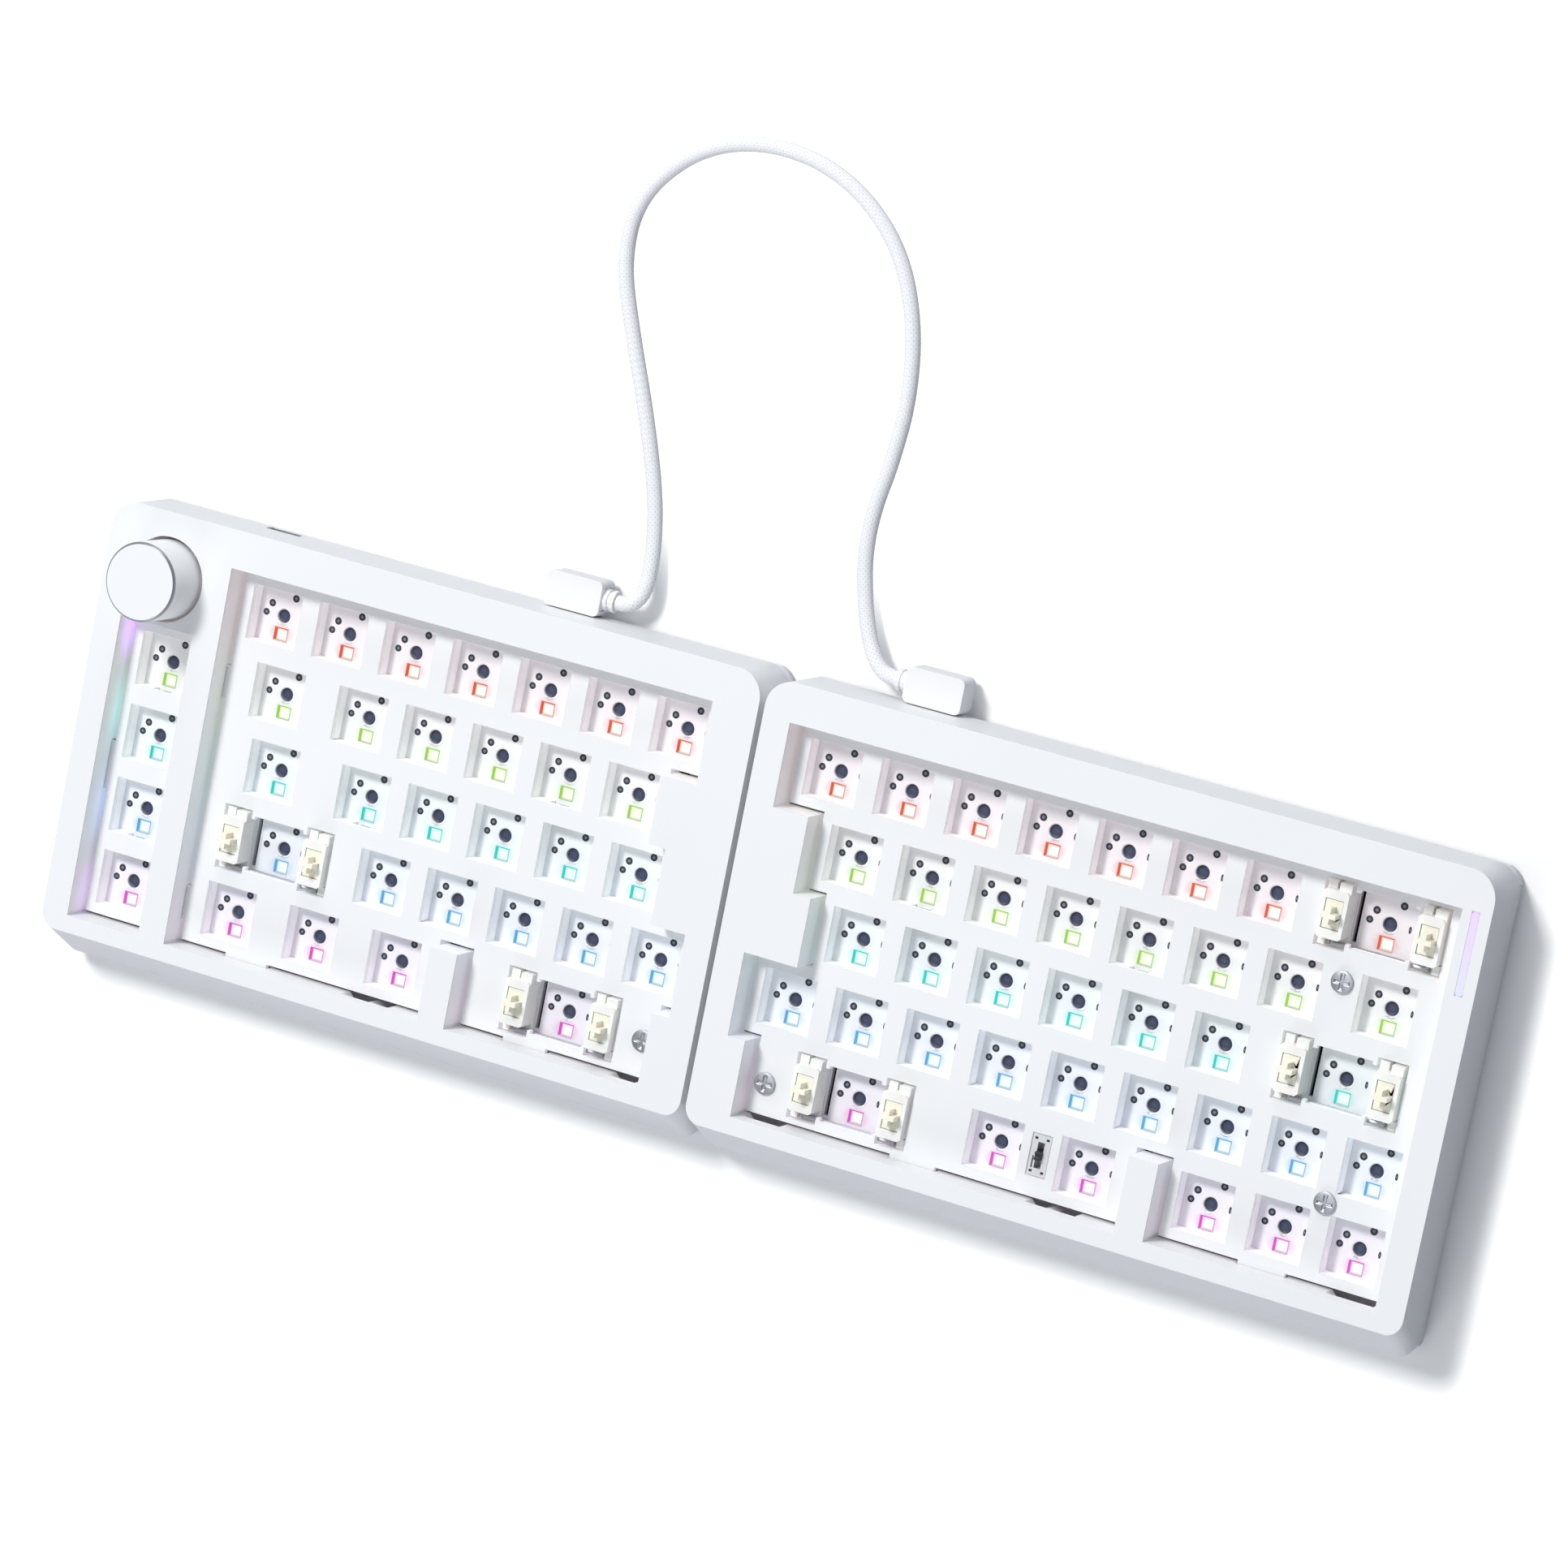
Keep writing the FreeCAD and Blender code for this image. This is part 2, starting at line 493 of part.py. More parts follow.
def flip_pocket(name, x, grow, low, roof):
    """The room of a folded flip foot, or the box that closes it from above."""
    ahead = f"(Sizes.flip_length + Sizes.flip_room + {grow})"
    behind = f"(Sizes.flip_thickness / 2 + Sizes.flip_room + {grow})"
    return span_box(name, f"{x} - Sizes.flip_width / 2 - Sizes.flip_room - {grow}",
                    f"{x} + Sizes.flip_width / 2 + Sizes.flip_room + {grow}",
                    f"{FLIP_Y} - {ahead}", f"{FLIP_Y} + {behind}", low, roof)


FLIP_ROOF = "(Sizes.flip_axis_height + Sizes.flip_thickness / 2 + Sizes.flip_room)"


def boss_room(name, x, y):
    """The room in the tray's rim that a boss of the top case stands in."""
    reach = "(Sizes.boss_radius + Sizes.boss_room)"
    return box(name, f"{x} - {reach}", f"{y} - {reach}", "Sizes.case_bottom + Sizes.floor_thickness",
               f"2 * {reach}", f"2 * {reach}", "5")


def bottom_case(half):
    side = half.side
    slab = case_blank(side + "_floor", half, "Sizes.case_bottom")
    keep = span_box(side + "_floor_slice", f"{half.start} + Sizes.bottom_inset", f"{half.finish} - Sizes.bottom_inset",
                    f"{NOSE} + Sizes.front_tuck + Sizes.bottom_inset", f"{BACK} - Sizes.bottom_inset",
                    "Sizes.case_bottom", "Sizes.parting_height")
    tray = common(side + "_tray", slab, keep)
    hollow = cavity(side + "_tray_room", half, "Sizes.case_bottom + Sizes.floor_thickness", "Sizes.parting_height + 1",
                    "Sizes.fit")
    rim_rooms = [boss_room(f"{side}_rim_room_{number}", x, y) for number, (x, y) in enumerate(boss_places(half))]
    tray = cut(side + "_tray_hollow", tray, [hollow] + rim_rooms)
    lip_top = "Sizes.parting_height + Sizes.lip_height"
    low = "Sizes.case_bottom + Sizes.floor_thickness"
    lip = cut(side + "_lip", cavity(side + "_lip_outer", half, low, lip_top, "Sizes.fit"),
              [cavity(side + "_lip_inner", half, low, f"{lip_top} + 1", "(Sizes.fit + Sizes.lip_wall)")])
    rooms = [boss_room(f"{side}_boss_room_{number}", x, y) for number, (x, y) in enumerate(boss_places(half))]
    for number, at in enumerate(half.ports):
        rooms.append(span_box(f"{side}_port_room_{number}", f"Sizes.{at} - Sizes.port_tab / 2 - 0.5",
                              f"Sizes.{at} + Sizes.port_tab / 2 + 0.5", f"{BACK} - Sizes.wall - 6", f"{BACK}",
                              f"{low} + 0.8", "10"))
    lip = cut(side + "_lip_with_gaps", lip, rooms)
    posts = [tab_box(f"{side}_post_{number}", half, kind, at, "Sizes.tab_reach", "Sizes.tab_width",
                     low, f"{PLATE_BOTTOM} - Sizes.gasket_thickness")
             for number, (kind, at) in enumerate(half.tabs)]
    inner = block(side + "_post_trim", half, "Sizes.well_margin", low, "20")
    posts = cut(side + "_posts", fuse(side + "_post_blocks", posts), inner)
    covers = [flip_pocket(f"{side}_flip_cover_{number}", x, "Sizes.flip_roof", "Sizes.case_bottom",
                          f"{FLIP_ROOF} + Sizes.flip_roof")
              for number, x in enumerate(flip_places(half))]
    whole = fuse(side + "_bottom_whole", [tray, lip, posts] + covers)
    tools = [flip_pocket(f"{side}_flip_room_{number}", x, "0", "0", FLIP_ROOF)
             for number, x in enumerate(flip_places(half))]
    for number, x in enumerate(flip_places(half)):
        bore = "(Sizes.flip_pin / 2 + Sizes.flip_pin_room)"
        tools.append(box(f"{side}_flip_bore_{number}", f"{x} - Sizes.flip_width / 2 - Sizes.flip_room - 0.9",
                         f"{FLIP_Y} - {bore}", f"Sizes.flip_axis_height - {bore}",
                         "Sizes.flip_width + 2 * Sizes.flip_room + 1.8", f"2 * {bore}", f"2 * {bore}"))
    for number, (x, y) in enumerate(boss_places(half)):
        tools.append(prism(f"{side}_screw_hole_{number}", 6, x, y, "0", "Sizes.case_screw_shank + 0.4", "5"))
        tools.append(prism(f"{side}_screw_sink_{number}", 8, x, y, "0", "Sizes.case_screw_head + 0.4",
                           "Sizes.case_bottom + Sizes.case_screw_sink"))
    for number, (x, y) in enumerate(foot_places(half)):
        tools.append(box(f"{side}_foot_sink_{number}", f"{x} - Sizes.foot_length / 2 - 0.1",
                         f"{y} - Sizes.foot_width / 2 - 0.1", "0", "Sizes.foot_length + 0.2", "Sizes.foot_width + 0.2",
                         "Sizes.case_bottom + Sizes.foot_sink"))
    export(side + "_bottom_case", cut(side + "_bottom_case_solid", whole, tools), half)


def foot_places(half):
    """Centres of the rubber feet: two near the front corners, two ahead of the flip feet."""
    near = f"({half.start} + Sizes.foot_inset + Sizes.foot_length / 2 + 2)"
    far = f"({half.finish} - Sizes.foot_inset - Sizes.foot_length / 2 - 2)"
    front = f"({FRONT} + Sizes.foot_inset + 1)"
    back = f"({FLIP_Y} - Sizes.flip_length - 10)"
    return [(near, front), (far, front), (near, back), (far, back)]


def rubber_feet(half):
    feet = []
    for number, (x, y) in enumerate(foot_places(half)):
        blank = box(f"{half.side}_foot_blank_{number}", f"{x} - Sizes.foot_length / 2", f"{y} - Sizes.foot_width / 2",
                    "0", "Sizes.foot_length", "Sizes.foot_width", "Sizes.case_bottom + Sizes.foot_sink")
        feet.append(chamfered(f"{half.side}_foot_{number}", blank, 2.2, upright))
    export(half.side + "_rubber_feet", group(half.side + "_feet", feet), half)


def case_screws(half):
    screws = []
    for number, (x, y) in enumerate(boss_places(half)):
        head = prism(f"{half.side}_case_head_{number}", 8, x, y,
                     "Sizes.case_bottom + Sizes.case_screw_sink - 1", "Sizes.case_screw_head", "1")
        shank = prism(f"{half.side}_case_shank_{number}", 6, x, y, "Sizes.case_bottom + Sizes.case_screw_sink",
                      "Sizes.case_screw_shank - 0.04", "6")
        screws.append(fuse(f"{half.side}_case_screw_{number}", [head, shank]))
    export(half.side + "_case_screws", group(half.side + "_case_screw_group", screws), half)


def flip_feet(half):
    """A flat leg with a rounded barrel and two stub pins, folded forward in its pocket."""
    for name, x in zip(("outer" if half is left else "inner", "inner" if half is left else "outer"),
                       flip_places(half)):
        node = f"{half.side}_flip_foot_{name}"
        leg = span_box(node + "_leg", f"{x} - Sizes.flip_width / 2", f"{x} + Sizes.flip_width / 2",
                       f"{FLIP_Y} - Sizes.flip_length", FLIP_Y,
                       "Sizes.flip_axis_height - Sizes.flip_thickness / 2",
                       "Sizes.flip_axis_height + Sizes.flip_thickness / 2")
        barrel = bar(node + "_barrel", 12, f"{x} - Sizes.flip_width / 2", FLIP_Y, "Sizes.flip_axis_height",
                     "Sizes.flip_thickness", "Sizes.flip_width")
        pins = bar(node + "_pins", 12, f"{x} - Sizes.flip_width / 2 - Sizes.flip_room - 0.7", FLIP_Y,
                   "Sizes.flip_axis_height", "Sizes.flip_pin - 0.06", "Sizes.flip_width + 2 * Sizes.flip_room + 1.4")
        whole = fuse(node + "_whole", [leg, barrel, pins])
        grip = box(node + "_grip", f"{x} - Sizes.flip_grip / 2", f"{FLIP_Y} - Sizes.flip_length - 1",
                   "Sizes.flip_axis_height - Sizes.flip_thickness / 2 - 1", "Sizes.flip_grip", "2.5", "2.2")
        export(node, cut(node + "_solid", whole, [grip]), half)


# Switch plate, circuit board and what they carry


def key_solid(half, maker, keys=None):
    """One compound of a solid repeated at each key."""
    pitch = size("key_pitch")
    return Part.makeCompound([maker().translated(FreeCAD.Vector(at * pitch, -(row - 1) * pitch, 0))
                              for at, row in (keys or half.keys)])


def centred_box(length, width, x, y, low, high):
    return Part.makeBox(length, width, high - low, FreeCAD.Vector(x - length / 2, y - width / 2, low))


def polygon_rod(sides, across, x, y, low, high):
    """A prism whose flat faces lie the given distance apart."""
    radius = across / 2 / math.cos(math.pi / sides)
    points = []
    for number in range(sides + 1):
        angle = 2 * math.pi * number / sides
        points.append(FreeCAD.Vector(x + radius * math.cos(angle), y + radius * math.sin(angle), low))
    return Part.Face(Part.makePolygon(points)).extrude(FreeCAD.Vector(0, 0, high - low))


def stab_cutter(low, high):
    """The single wide opening of a stabilised key: switch square, band and two end slots."""
    half_span = size("stab_span") / 2
    band = centred_box(2 * half_span, size("switch_hole") - 1.6, 0, 0, low, high)
    ends = [centred_box(size("stab_hole_width"), size("stab_hole_length"), side * half_span, 0, low, high)
            for side in (-1, 1)]
    return band.fuse(ends).removeSplitter()


def plate(half):
    side = half.side
    low, high = read(PLATE_BOTTOM), read(PLATE_TOP)
    sheets = block(side + "_plate_sheet", half, "(Sizes.well_margin - Sizes.plate_gap)", PLATE_BOTTOM, PLATE_TOP)
    sheets += [tab_box(f"{side}_tab_{number}", half, kind, at, "Sizes.tab_reach", "Sizes.tab_width",
                       PLATE_BOTTOM, PLATE_TOP) for number, (kind, at) in enumerate(half.tabs)]
    if half is left:
        sheets += bridge_boxes("plate_bridge", "0", PLATE_BOTTOM, PLATE_TOP)
    blank = fuse(side + "_plate_blank", sheets)
    square = size("switch_hole")
    holes = feature(side + "_switch_holes", key_solid(half, lambda: centred_box(square, square, 0, 0, low - 1, high + 1)))
    tools = [holes]
    if half.stabs:
        wide = key_solid(half, lambda: stab_cutter(low - 1, high + 1), [(at, row) for _, at, row in half.stabs])
        tools.append(feature(side + "_stab_holes", wide))
    for number, (at, row) in enumerate(half.screws):
        tools.append(prism(f"{side}_plate_screw_hole_{number}", 8, unit(at), row_line(row + 1),
                           f"{PLATE_BOTTOM} - 1", "Sizes.screw_shank + 0.2", "5"))
    if half is right:
        tools.append(span_box("mode_slot", f"{SWITCH_X} - Sizes.switch_slot_width / 2",
                              f"{SWITCH_X} + Sizes.switch_slot_width / 2",
                              f"{SWITCH_Y} - Sizes.switch_slot_length / 2",
                              f"{SWITCH_Y} + Sizes.switch_slot_length / 2", f"{PLATE_BOTTOM} - 1", f"{PLATE_TOP} + 1"))
    return export(side + "_switch_plate", cut(side + "_plate_solid", blank, tools), half)


SWITCH_X = unit(SWITCH_UNIT)
SWITCH_Y = row_line(SWITCH_ROW)
BAR_Y = "Sizes.bar_shift"


def circuit_board(half):
    side = half.side
    low, high = read(PCB_BOTTOM), size("pcb_top")
    sheets = block(side + "_pcb_sheet", half, "(Sizes.well_margin - Sizes.pcb_gap)", PCB_BOTTOM, "Sizes.pcb_top")
    for number, at in enumerate(half.ports):
        sheets.append(span_box(f"{side}_port_tab_{number}", f"Sizes.{at} - Sizes.port_tab / 2",
                               f"Sizes.{at} + Sizes.port_tab / 2", "0", f"{BACK} - Sizes.wall - 0.6", PCB_BOTTOM,
                               "Sizes.pcb_top"))
    if half is left:
        sheets.append(span_box("macro_link", f"{unit(-1.5)} + 1", f"{unit(0.5)}", f"{row_line(5)} - 5",
                               f"{KNOB_Y} + Sizes.encoder_size / 2 + 2.6", PCB_BOTTOM, "Sizes.pcb_top"))
    blank = fuse(side + "_pcb_blank", sheets)
    centre = size("centre_hole")
    stabs = [(at, row) for _, at, row in half.stabs]
    holes = key_solid(half, lambda: polygon_rod(6, centre, 0, 0, low - 1, high + 1))
    windows = key_solid(half, lambda: centred_box(size("led_window_x"), size("led_window_y"), 0,
                                                  -size("led_offset"), low - 1, high + 1))
    slots = key_solid(half, lambda: centred_box(size("clip_slot_width"), size("clip_slot_length"),
                                                size("clip_slot_offset") - size("stab_span") / 2, 0,
                                                low - 1, high + 1), stabs)
    tools = [feature(side + "_centre_holes", holes), feature(side + "_led_windows", windows),
             feature(side + "_clip_slots", slots)]
    for number, (at, row) in enumerate(half.screws):
        tools.append(prism(f"{side}_pcb_screw_hole_{number}", 8, unit(at), row_line(row + 1), f"{PCB_BOTTOM} - 1",
                           "Sizes.screw_shank + 0.2", "5"))
    export(side + "_circuit_board", cut(side + "_pcb_solid", blank, tools), half)
    x, y, tall = size("led_size_x"), size("led_size_y"), size("led_height")
    leds = key_solid(half, lambda: centred_box(x, y, 0, -size("led_offset"), low - 0.25, low - 0.25 + tall))
    export(side + "_leds", feature(side + "_led_group", leds), half)
    long, wide = size("socket_length"), size("socket_width")
    sockets = key_solid(half, lambda: centred_box(long, wide, -0.6, size("socket_offset"),
                                                  low - size("socket_height"), low))
    export(side + "_switch_sockets", feature(side + "_socket_group", sockets), half)


def standoffs(half):
    """Hexagonal pillars between board and plate, bored where a screw goes down."""
    low, high = size("pcb_top"), read(PLATE_BOTTOM)
    pitch = size("key_pitch")
    pillars = []
    for at, row in half.standoffs:
        pillar = polygon_rod(6, size("standoff_width"), at * pitch, -row * pitch, low, high)
        if (at, row) in half.screws:
            pillar = pillar.cut(polygon_rod(8, size("screw_shank") + 0.04, at * pitch, -row * pitch, low, high))
        pillars.append(pillar)
    export(half.side + "_standoffs", feature(half.side + "_standoff_group", Part.makeCompound(pillars)), half)


def plate_screws(half):
    screws = []
    for number, (at, row) in enumerate(half.screws):
        head = prism(f"{half.side}_plate_head_{number}", 16, unit(at), row_line(row + 1), PLATE_TOP,
                     "Sizes.screw_head", "Sizes.screw_head_height")
        shank = prism(f"{half.side}_plate_shank_{number}", 8, unit(at), row_line(row + 1), f"{PCB_BOTTOM}",
                      "Sizes.screw_shank", f"{PLATE_TOP} - {PCB_BOTTOM}")
        screws.append(fuse(f"{half.side}_plate_screw_{number}", [head, shank]))
    export(half.side + "_plate_screws", group(half.side + "_plate_screw_group", screws), half)


def gaskets(half):
    """Foam strips above and below each plate tab."""
    strips = []
    for number, (kind, at) in enumerate(half.tabs):
        for level, low, high in (("lower", f"{PLATE_BOTTOM} - Sizes.gasket_thickness", PLATE_BOTTOM),
                                 ("upper", PLATE_TOP, POCKET_TOP)):
            name = f"{half.side}_gasket_{level}_{number}"
            strip = tab_box(name + "_block", half, kind, at, "Sizes.tab_reach - 0.2", "Sizes.tab_width - 0.6", low, high)
            hidden = "0.3" if level == "lower" else "Sizes.pocket_lip + 0.2"
            trim = tab_box(name + "_trim", half, kind, at, hidden, "Sizes.tab_width + 4", "5", "20")
            strips.append(cut(name, strip, [trim]))
    export(half.side + "_gaskets", group(half.side + "_gasket_group", strips), half)


def case_foam(half):
    side = half.side
    low = "Sizes.case_bottom + Sizes.floor_thickness"
    sheets = block(side + "_foam_sheet", half, "(Sizes.well_margin - Sizes.foam_gap)", low, "Sizes.foam_top")
    tools = [flip_pocket(f"{side}_foam_gap_{number}", x, "(Sizes.flip_roof + 0.3)", "0", "10")
             for number, x in enumerate(flip_places(half))]
    for number, at in enumerate(half.ports):
        tools.append(span_box(f"{side}_foam_port_{number}", f"Sizes.{at} - 8", f"Sizes.{at} + 8", "5", "20", "0", "10"))
    if half is right:
        tools.append(span_box("battery_window", f"{BATTERY_X} - Sizes.battery_length / 2 - 0.4",
                              f"{BATTERY_X} + Sizes.battery_length / 2 + 0.4",
                              f"{BATTERY_Y} - Sizes.battery_width / 2 - 0.4",
                              f"{BATTERY_Y} + Sizes.battery_width / 2 + 0.4", "0", "10"))
    export(side + "_case_foam", cut(side + "_foam_solid", fuse(side + "_foam_blank", sheets), tools), half)


BATTERY_X = unit(10.5)
BATTERY_Y = row_line(3.5)


def battery():
    blank = span_box("battery_blank", f"{BATTERY_X} - Sizes.battery_length / 2",
                     f"{BATTERY_X} + Sizes.battery_length / 2", f"{BATTERY_Y} - Sizes.battery_width / 2",
                     f"{BATTERY_Y} + Sizes.battery_width / 2", "Sizes.case_bottom + Sizes.floor_thickness",
                     "Sizes.case_bottom + Sizes.floor_thickness + Sizes.battery_thickness")
    export("right_battery", chamfered("battery_pack", blank, 1.5, upright), right)


def ports(half):
    """Receptacles under the board: a thin shell round a tongue, open at the back."""
    names = {"left_port_at": "left_bridge_port", "right_port_at": "right_bridge_port", "host_port_at": "host_port"}
    for at in half.ports:
        node = names[at]
        back = f"{BACK} - 0.2"
        front = f"{BACK} - 0.2 - Sizes.port_depth"
        shell = port_hole(node + "_shell", at, "0", front, back)
        room = port_hole(node + "_room", at, "(-Sizes.port_wall)", f"{front} + 0.7", f"{back} + 1")
        middle = f"({PCB_BOTTOM} - Sizes.port_height / 2)"
        tongue = span_box(node + "_tongue", f"Sizes.{at} - 3.3", f"Sizes.{at} + 3.3", f"{front} + 0.5",
                          f"{back} - 1.6", f"{middle} - 0.3", f"{middle} + 0.3")
        export(node, fuse(node + "_solid", [cut(node + "_case", shell, [room]), tongue]), half)


# Stabilisers: two housings, two stems and a bent wire for each wide key


def stabiliser(half, key, at, row):
    name = f"{half.side}_{key}_stab"
    housings, stems = [], []
    for side in (-1, 1):
        tag = f"{name}_{'a' if side < 0 else 'b'}"
        middle = f"({side} * Sizes.stab_span / 2)"
        block_out = span_box(tag + "_tower_block", f"{middle} - Sizes.housing_width / 2",
                             f"{middle} + Sizes.housing_width / 2", "-Sizes.housing_length / 2",
                             "Sizes.housing_length / 2", "0", "Sizes.housing_height")
        tower = chamfered(tag + "_tower", block_out, size("housing_chamfer"), upright)
        flange = span_box(tag + "_flange", f"{middle} - Sizes.flange_width / 2", f"{middle} + Sizes.flange_width / 2",
                          "0", "Sizes.flange_length / 2", "0", "Sizes.flange_height")
        shelf = span_box(tag + "_shelf", f"{middle} - Sizes.flange_width / 2", f"{middle} + Sizes.flange_width / 2",
                         "-Sizes.flange_length / 2", "0", "0", "Sizes.flange_front")
        room = span_box(tag + "_room", f"{middle} - Sizes.stem_cavity_x / 2", f"{middle} + Sizes.stem_cavity_x / 2",
                        "-Sizes.stem_cavity_y / 2", "Sizes.stem_cavity_y / 2", "-1",
                        "Sizes.housing_height - Sizes.stem_roof")
        mouth = span_box(tag + "_mouth", f"{middle} - Sizes.stem_mouth_x / 2", f"{middle} + Sizes.stem_mouth_x / 2",
                         "-Sizes.stem_mouth_y / 2", "Sizes.stem_mouth_y / 2", "1", "Sizes.housing_height + 1")
        slot = span_box(tag + "_slot", f"{middle} - Sizes.wire_slot / 2 - Sizes.wire_slot_room",
                        f"{middle} + Sizes.wire_slot / 2 + Sizes.wire_slot_room",
                        "-Sizes.flange_length / 2 - 1", "-2", "0.3", "Sizes.housing_height - 1.2")
        inner = "(Sizes.housing_length / 2 - 0.5)"
        edge = "Sizes.housing_width / 2"
        hook = span_box(tag + "_hook", f"{middle} + {edge} - Sizes.hook_width", f"{middle} + {edge}",
                        inner, "Sizes.hook_reach", "0", "Sizes.hook_height")
        block = span_box(tag + "_back_block", f"{middle} - {edge}", f"{middle} - {edge} + Sizes.block_width",
                         inner, "Sizes.hook_reach", "0", "Sizes.block_height")
        pit = span_box(tag + "_pit", f"{middle} - {edge} + Sizes.block_width", f"{middle} + {edge} - Sizes.hook_width",
                       f"{inner} + 0.5", "Sizes.hook_reach", "Sizes.flange_height - Sizes.pit_depth",
                       "Sizes.flange_height + 1")
        outside = f"({middle} + {side} * ({edge} - Sizes.lug_width / 2))"
        lug = span_box(tag + "_lug", f"{outside} - Sizes.lug_width / 2", f"{outside} + Sizes.lug_width / 2",
                       "-Sizes.lug_reach", "Sizes.lug_depth - Sizes.lug_reach", "0", "Sizes.lug_height")
        body = fuse(tag + "_body", [tower, flange, shelf, hook, block, lug])
        housings.append(cut(tag + "_housing", body, [room, mouth, slot, pit]))
        base = "Sizes.stem_base"
        shoulder = span_box(tag + "_shoulder", f"{middle} - Sizes.stem_cavity_x / 2 + Sizes.stem_room",
                            f"{middle} + Sizes.stem_cavity_x / 2 - Sizes.stem_room",
                            "-Sizes.stem_cavity_y / 2 + Sizes.stem_room", "Sizes.stem_cavity_y / 2 - Sizes.stem_room",
                            base, f"{base} + Sizes.stem_shoulder")
        neck = span_box(tag + "_neck", f"{middle} - Sizes.stem_mouth_x / 2 + Sizes.stem_room",
                        f"{middle} + Sizes.stem_mouth_x / 2 - Sizes.stem_room",
                        "-Sizes.stem_mouth_y / 2 + Sizes.stem_room", "Sizes.stem_mouth_y / 2 - Sizes.stem_room",
                        base, f"{base} + Sizes.stem_height")
        top = f"{base} + Sizes.stem_height"
        bar = span_box(tag + "_post_x", f"{middle} - Sizes.post_long / 2", f"{middle} + Sizes.post_long / 2",
                       "-Sizes.post_thin / 2", "Sizes.post_thin / 2", f"{top} - 1", f"{top} + Sizes.post_height")
        rib = span_box(tag + "_post_y", f"{middle} - Sizes.post_thin / 2", f"{middle} + Sizes.post_thin / 2",
                       "-Sizes.post_long / 2", "Sizes.post_long / 2", f"{top} - 1", f"{top} + Sizes.post_height")
        channel = span_box(tag + "_channel", f"{middle} - Sizes.wire_slot / 2", f"{middle} + Sizes.wire_slot / 2",
                           "-Sizes.stem_cavity_y", "Sizes.channel_back", "-1", "Sizes.channel_top")
        stems.append(cut(tag + "_stem", fuse(tag + "_stem_body", [shoulder, neck, bar, rib]), [channel]))
    wire = stab_wire(name)
    for node, thing in ((name + "_housings", group(name + "_housing_pair", housings)),
                        (name + "_stems", group(name + "_stem_pair", stems)), (name + "_wire", wire)):
        thing.Label = node
        place(thing, f"{half.shift} + {unit(at)}", f"{SHIFT_Y} + {row_line(row)}", "Sizes.pcb_top")
        exports.append(thing)


WIRE_SIDES = 10


def stab_wire(name):
    """A bar beside the housings whose two arms rest low in the stems."""
    half_span, pivot_y, pivot_z = size("stab_span") / 2, -size("wire_pivot_y"), size("wire_pivot_z")
    radius, arm = size("wire_diameter") / 2, size("wire_arm")
    drop = math.asin(size("stem_travel") / 2 / arm)
    along = FreeCAD.Vector(0, math.cos(drop), -math.sin(drop))
    pivot = FreeCAD.Vector(0, pivot_y, pivot_z)
    across = FreeCAD.Vector(half_span, 0, 0)
    path = Part.makePolygon([pivot - across + along * arm, pivot - across, pivot + across, pivot + across + along * arm])
    tip = pivot - across + along * arm
    side, rise = FreeCAD.Vector(1, 0, 0), along.cross(FreeCAD.Vector(1, 0, 0))
    rim = []
    for number in range(WIRE_SIDES + 1):
        angle = 2 * math.pi * number / WIRE_SIDES
        rim.append(tip + side * (radius * math.cos(angle)) + rise * (radius * math.sin(angle)))
    whole = Part.Wire(path.Edges).makePipeShell([Part.makePolygon(rim)], True, False, 1)
    return feature(name + "_wire_solid", whole)


# Knob and encoder


def knob():
    """A turned cap with a bevelled top edge and a bore that keys on the shaft's flat."""
    blank = rod("knob_blank", KNOB_X, KNOB_Y, "Sizes.knob_bottom", "Sizes.knob_diameter",
                "Sizes.knob_top - Sizes.knob_bottom")
    top = size("knob_top")

    def upper(edge):
        return abs(edge.CenterOfMass.z - top) < 1e-6

    cap = chamfered("knob_cap", blank, size("knob_edge"), upper)
    bore = prism("knob_bore", 16, KNOB_X, KNOB_Y, "Sizes.knob_bottom - 1",
                 "Sizes.shaft_diameter + 2 * Sizes.bore_fit", "Sizes.shaft_top - Sizes.knob_bottom + 1.1")
    key = box("knob_key", f"{KNOB_X} + Sizes.shaft_flat + Sizes.bore_fit", f"{KNOB_Y} - 5", "Sizes.knob_bottom",
              "5", "10", "Sizes.shaft_top - Sizes.knob_bottom + 1")
    export("knob", cut("knob_solid", cap, [cut("knob_keyed_bore", bore, [key])]), left)


